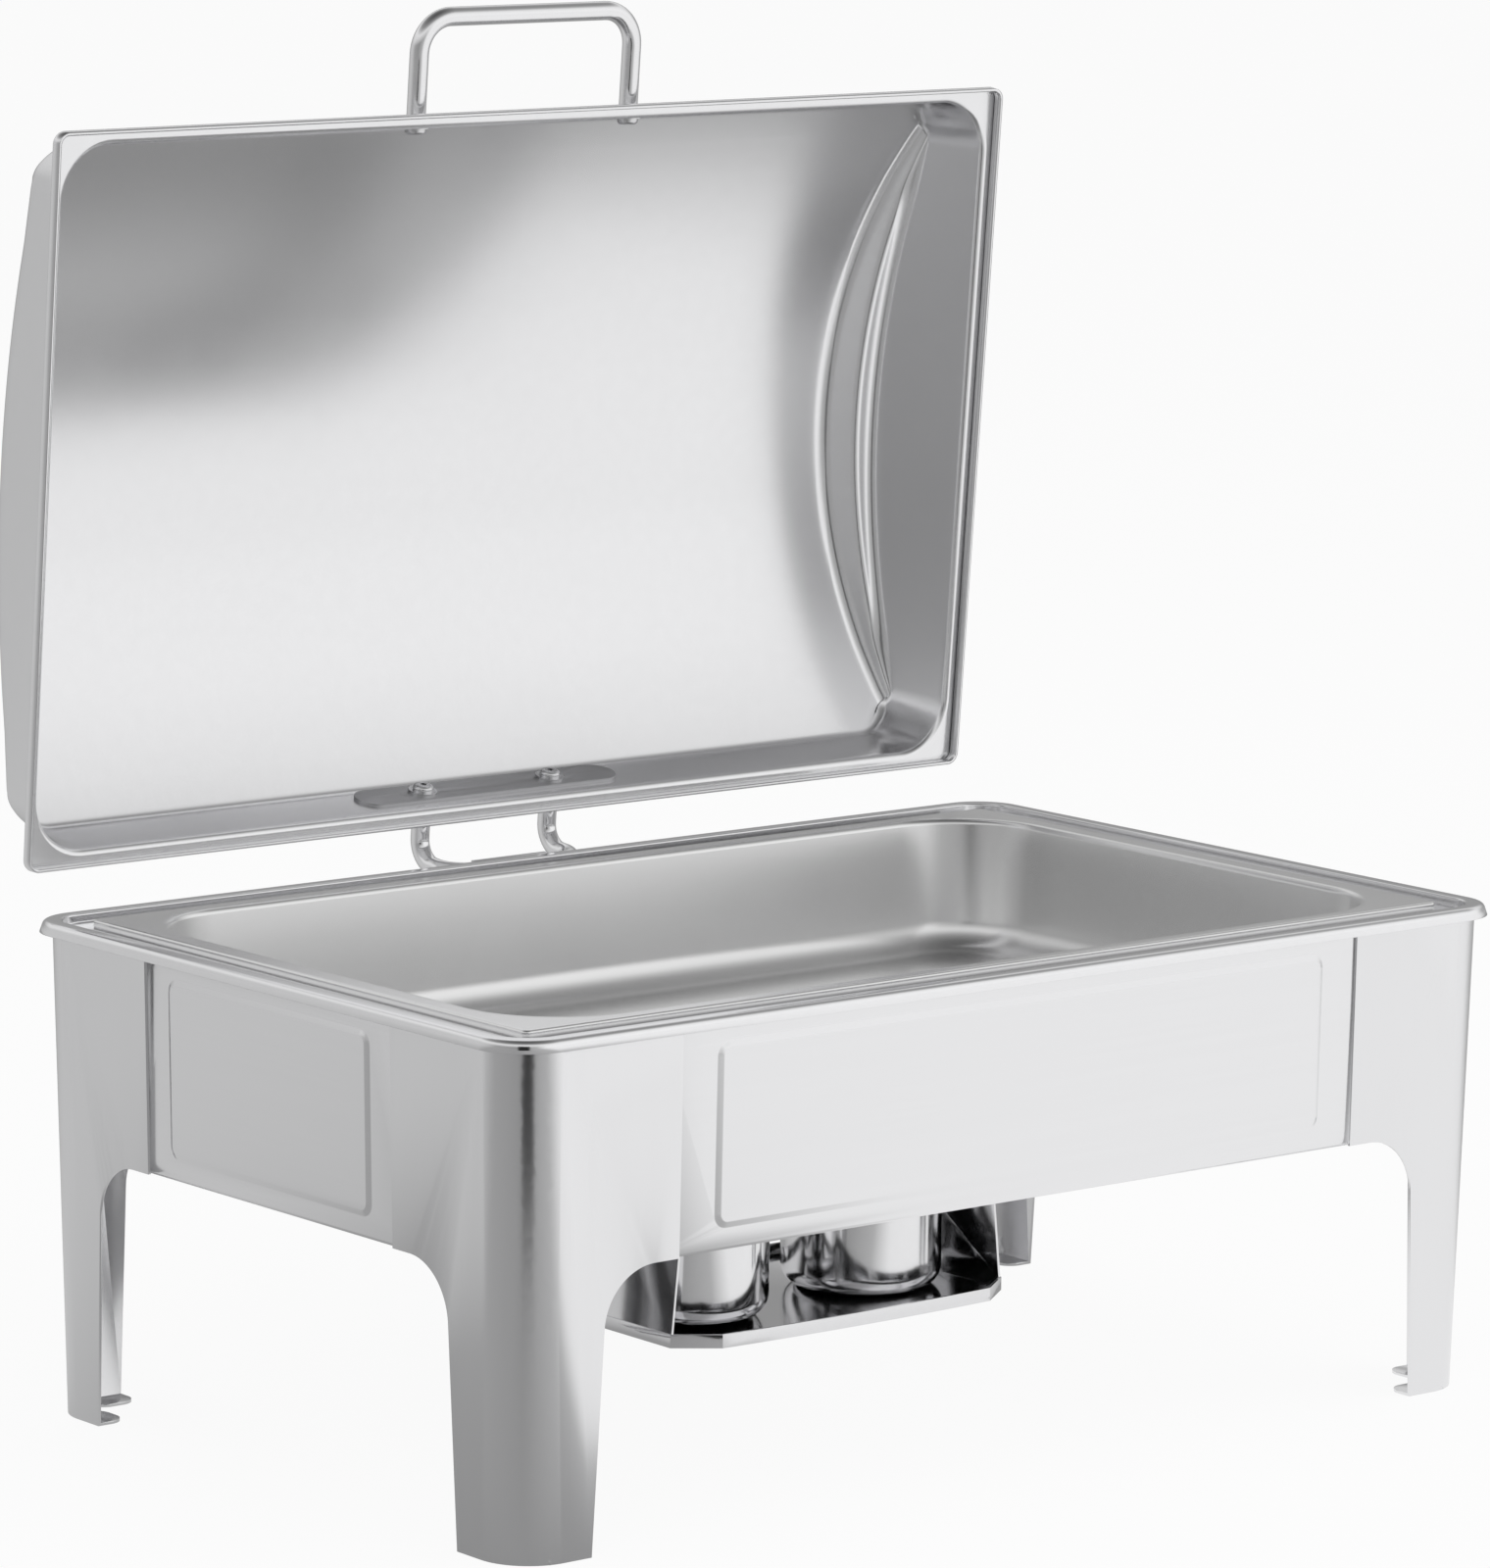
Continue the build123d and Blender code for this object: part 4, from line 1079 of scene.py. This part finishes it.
@dataclass
class Studio:
    """A pale table, a dark card, soft lamps, a white surround and the camera."""

    azimuth: float = -38.936
    elevation: float = 9.253
    roll: float = 0.593
    shift_right: float = -9.934
    shift_up: float = 283.40
    distance: float = 3522.14
    lens: float = 174.67
    table_half: float = 14.0
    table_tone: float = 0.86
    table_glow: float = 0.93
    flag_corner: tuple[float, float] = (-279.0, -178.0)
    flag_away: float = 520.0
    flag_half: float = 110.0
    flag_foot: float = 0.5
    flag_high: float = 420.0
    flag_tone: float = 0.02
    matt: float = 0.9
    key_way: tuple[float, float, float] = (0.628, -0.778, 0)
    wall_tones: Tones = (
        (0.0, 0.60), (0.15, 0.36), (0.5, 0.30), (0.80, 0.46), (0.93, 0.92), (1.0, 0.95)
    )
    sky_tones: Tones = (
        (0.0, 1.0), (0.50, 1.0), (0.64, 1.0), (0.76, 0.85), (0.88, 0.32), (1.0, 0.10)
    )
    wall_band: tuple[float, float] = (0.78, 0.60)

    def camera(self) -> None:
        """Aim the camera: back = (sin a cos e, -cos a cos e, sin e), right level, then the roll."""
        a, e, r = (math.radians(v) for v in (self.azimuth, self.elevation, self.roll))
        back = Vector((math.sin(a) * math.cos(e), -math.cos(a) * math.cos(e), math.sin(e)))
        level = Vector((math.cos(a), math.sin(a), 0))
        rise = back.cross(level)
        right = math.cos(r) * level + math.sin(r) * rise
        up = -math.sin(r) * level + math.cos(r) * rise
        spot = right * self.shift_right + up * self.shift_up + back * self.distance
        spot.y += MIDDLE_Y
        eye = bpy.data.objects.new("camera", bpy.data.cameras.new("camera"))
        eye.data.lens = self.lens
        eye.data.sensor_width = 36.0
        eye.data.clip_end = 60.0
        turned = Matrix((right, up, back)).transposed().to_4x4()
        eye.matrix_world = Matrix.Translation(spot * MM) @ turned
        bpy.context.scene.collection.objects.link(eye)
        bpy.context.scene.camera = eye

    def round_tone(
        self, tree: bpy.types.NodeTree, place: bpy.types.NodeSocket
    ) -> bpy.types.NodeSocket:
        """Tone of the studio's walls by compass direction, light where the big panels stand.

        The direction is laid flat and made unit, its dot product with the key panel's direction
        runs from -1 to 1, and a ramp turns that into a tone.

        Args:
            tree: the node tree to add to.
            place: the direction or position that it is read from.

        Returns:
            The tone's colour socket.
        """
        nodes, link = tree.nodes, tree.links.new
        flat, unit, facing = (nodes.new("ShaderNodeVectorMath") for _ in range(3))
        flat.operation, unit.operation, facing.operation = "MULTIPLY", "NORMALIZE", "DOT_PRODUCT"
        flat.inputs[1].default_value = (1, 1, 0)
        facing.inputs[1].default_value = self.key_way
        lift, ramp = nodes.new("ShaderNodeMapRange"), nodes.new("ShaderNodeValToRGB")
        set_inputs(lift, From_Min=-1.0)
        fill_ramp(ramp, self.wall_tones)
        link(place, flat.inputs[0])
        link(flat.outputs[0], unit.inputs[0])
        link(unit.outputs[0], facing.inputs[0])
        link(facing.outputs["Value"], lift.inputs["Value"])
        link(lift.outputs["Result"], ramp.inputs["Fac"])
        return ramp.outputs["Color"]

    def surround(self) -> None:
        """Make the world: white to the eye, and a soft grey sweep to light and reflections.

        The sweep is a ramp over the height of the direction looked in, and near and below the
        horizon it is multiplied by the walls' tone by compass direction.
        """
        world = bpy.data.worlds.new("surround")
        bpy.context.scene.world = world
        world.use_nodes = True
        nodes, link = world.node_tree.nodes, world.node_tree.links.new
        nodes.clear()
        place, split = nodes.new("ShaderNodeTexCoord"), nodes.new("ShaderNodeSeparateXYZ")
        ramp, seen = nodes.new("ShaderNodeValToRGB"), nodes.new("ShaderNodeMix")
        path = nodes.new("ShaderNodeLightPath")
        glow, out = nodes.new("ShaderNodeBackground"), nodes.new("ShaderNodeOutputWorld")
        lift = nodes.new("ShaderNodeMapRange")
        set_inputs(lift, From_Min=-1.0)
        fill_ramp(ramp, self.sky_tones)
        seen.data_type = "RGBA"
        seen.inputs["B"].default_value = (1, 1, 1, 1)
        link(place.outputs["Generated"], split.inputs[0])
        link(split.outputs["Z"], lift.inputs["Value"])
        link(lift.outputs["Result"], ramp.inputs["Fac"])
        walls, low = nodes.new("ShaderNodeMix"), nodes.new("ShaderNodeMapRange")
        walls.data_type, walls.blend_type = "RGBA", "MULTIPLY"
        set_inputs(low, From_Min=self.wall_band[0], From_Max=self.wall_band[1])
        link(lift.outputs["Result"], low.inputs["Value"])
        link(low.outputs["Result"], walls.inputs["Factor"])
        link(ramp.outputs["Color"], walls.inputs["A"])
        link(self.round_tone(world.node_tree, place.outputs["Generated"]), walls.inputs["B"])
        link(walls.outputs["Result"], seen.inputs["A"])
        link(path.outputs["Is Camera Ray"], seen.inputs["Factor"])
        link(seen.outputs["Result"], glow.inputs["Color"])
        link(glow.outputs[0], out.inputs["Surface"])

    def table(self) -> None:
        """Lay a wide pale table.

        The eye sees it almost white, with a trace of the dish's shadow, and the steel reflects
        it in the walls' tones.
        """
        mesh = bpy.data.meshes.new("table")
        size = self.table_half
        corners = [(-size, -size, 0), (size, -size, 0), (size, size, 0), (-size, size, 0)]
        mesh.from_pydata(corners, [], [(0, 1, 2, 3)])
        top = bpy.data.objects.new("table", mesh)
        bpy.context.scene.collection.objects.link(top)
        pale = bpy.data.materials.new("pale_table")
        pale.use_nodes = True
        nodes, link = pale.node_tree.nodes, pale.node_tree.links.new
        skin, out = nodes["Principled BSDF"], nodes["Material Output"]
        set_inputs(skin, Base_Color=(*[self.table_tone] * 3, 1), Roughness=self.matt)
        glow, both = nodes.new("ShaderNodeEmission"), nodes.new("ShaderNodeMixShader")
        path, spot = nodes.new("ShaderNodeLightPath"), nodes.new("ShaderNodeNewGeometry")
        amount, seen = nodes.new("ShaderNodeMath"), nodes.new("ShaderNodeMath")
        tone = nodes.new("ShaderNodeMix")
        seen.operation = "MAXIMUM"
        amount.operation = "MULTIPLY"
        amount.inputs[1].default_value = self.table_glow
        tone.data_type = "RGBA"
        tone.inputs["B"].default_value = (1, 1, 1, 1)
        link(self.round_tone(pale.node_tree, spot.outputs["Position"]), tone.inputs["A"])
        link(path.outputs["Is Camera Ray"], tone.inputs["Factor"])
        link(tone.outputs["Result"], glow.inputs["Color"])
        link(path.outputs["Is Camera Ray"], seen.inputs[0])
        link(path.outputs["Is Glossy Ray"], seen.inputs[1])
        link(seen.outputs[0], amount.inputs[0])
        link(amount.outputs[0], both.inputs["Fac"])
        link(skin.outputs[0], both.inputs[1])
        link(glow.outputs[0], both.inputs[2])
        link(both.outputs[0], out.inputs["Surface"])
        top.data.materials.append(pale)

    def flag(self) -> None:
        """Stand a dark card before the near corner, seen only in the dish's reflections."""
        a = math.radians(self.azimuth)
        back, level = np.array([math.sin(a), -math.cos(a)]), np.array([math.cos(a), math.sin(a)])
        corner = np.array([self.flag_corner[0], MIDDLE_Y + self.flag_corner[1]])
        near = corner + back * self.flag_away
        ends = np.stack([near - level * self.flag_half, near + level * self.flag_half])
        low, high = (np.column_stack([ends, [z] * 2]) for z in (self.flag_foot, self.flag_high))
        card = mesh_object("dark_flag", np.concatenate([low, high[::-1]]), [(0, 1, 2, 3)], False)
        black = bpy.data.materials.new("black_card")
        black.use_nodes = True
        skin = black.node_tree.nodes["Principled BSDF"]
        set_inputs(skin, Base_Color=(*[self.flag_tone] * 3, 1), Roughness=self.matt)
        card.data.materials.append(black)
        card.visible_camera = card.visible_diffuse = card.visible_shadow = False

    def build(self) -> None:
        """Set the whole studio up."""
        self.table()
        self.flag()
        self.surround()
        for lamp in LAMPS:
            lamp.hang()
        self.camera()
        bpy.context.scene.view_settings.view_transform = "Standard"


def main() -> None:
    """Build the dish piece by piece, then the studio round it."""
    logging.basicConfig(level=logging.INFO, format="%(message)s")
    for part in (Stand(), WaterPan(), FoodPan(), Hood(), FuelStation(), Studio()):
        part.build()
        LOG.info("%s done", type(part).__name__)


if __name__ == "__main__":
    main()
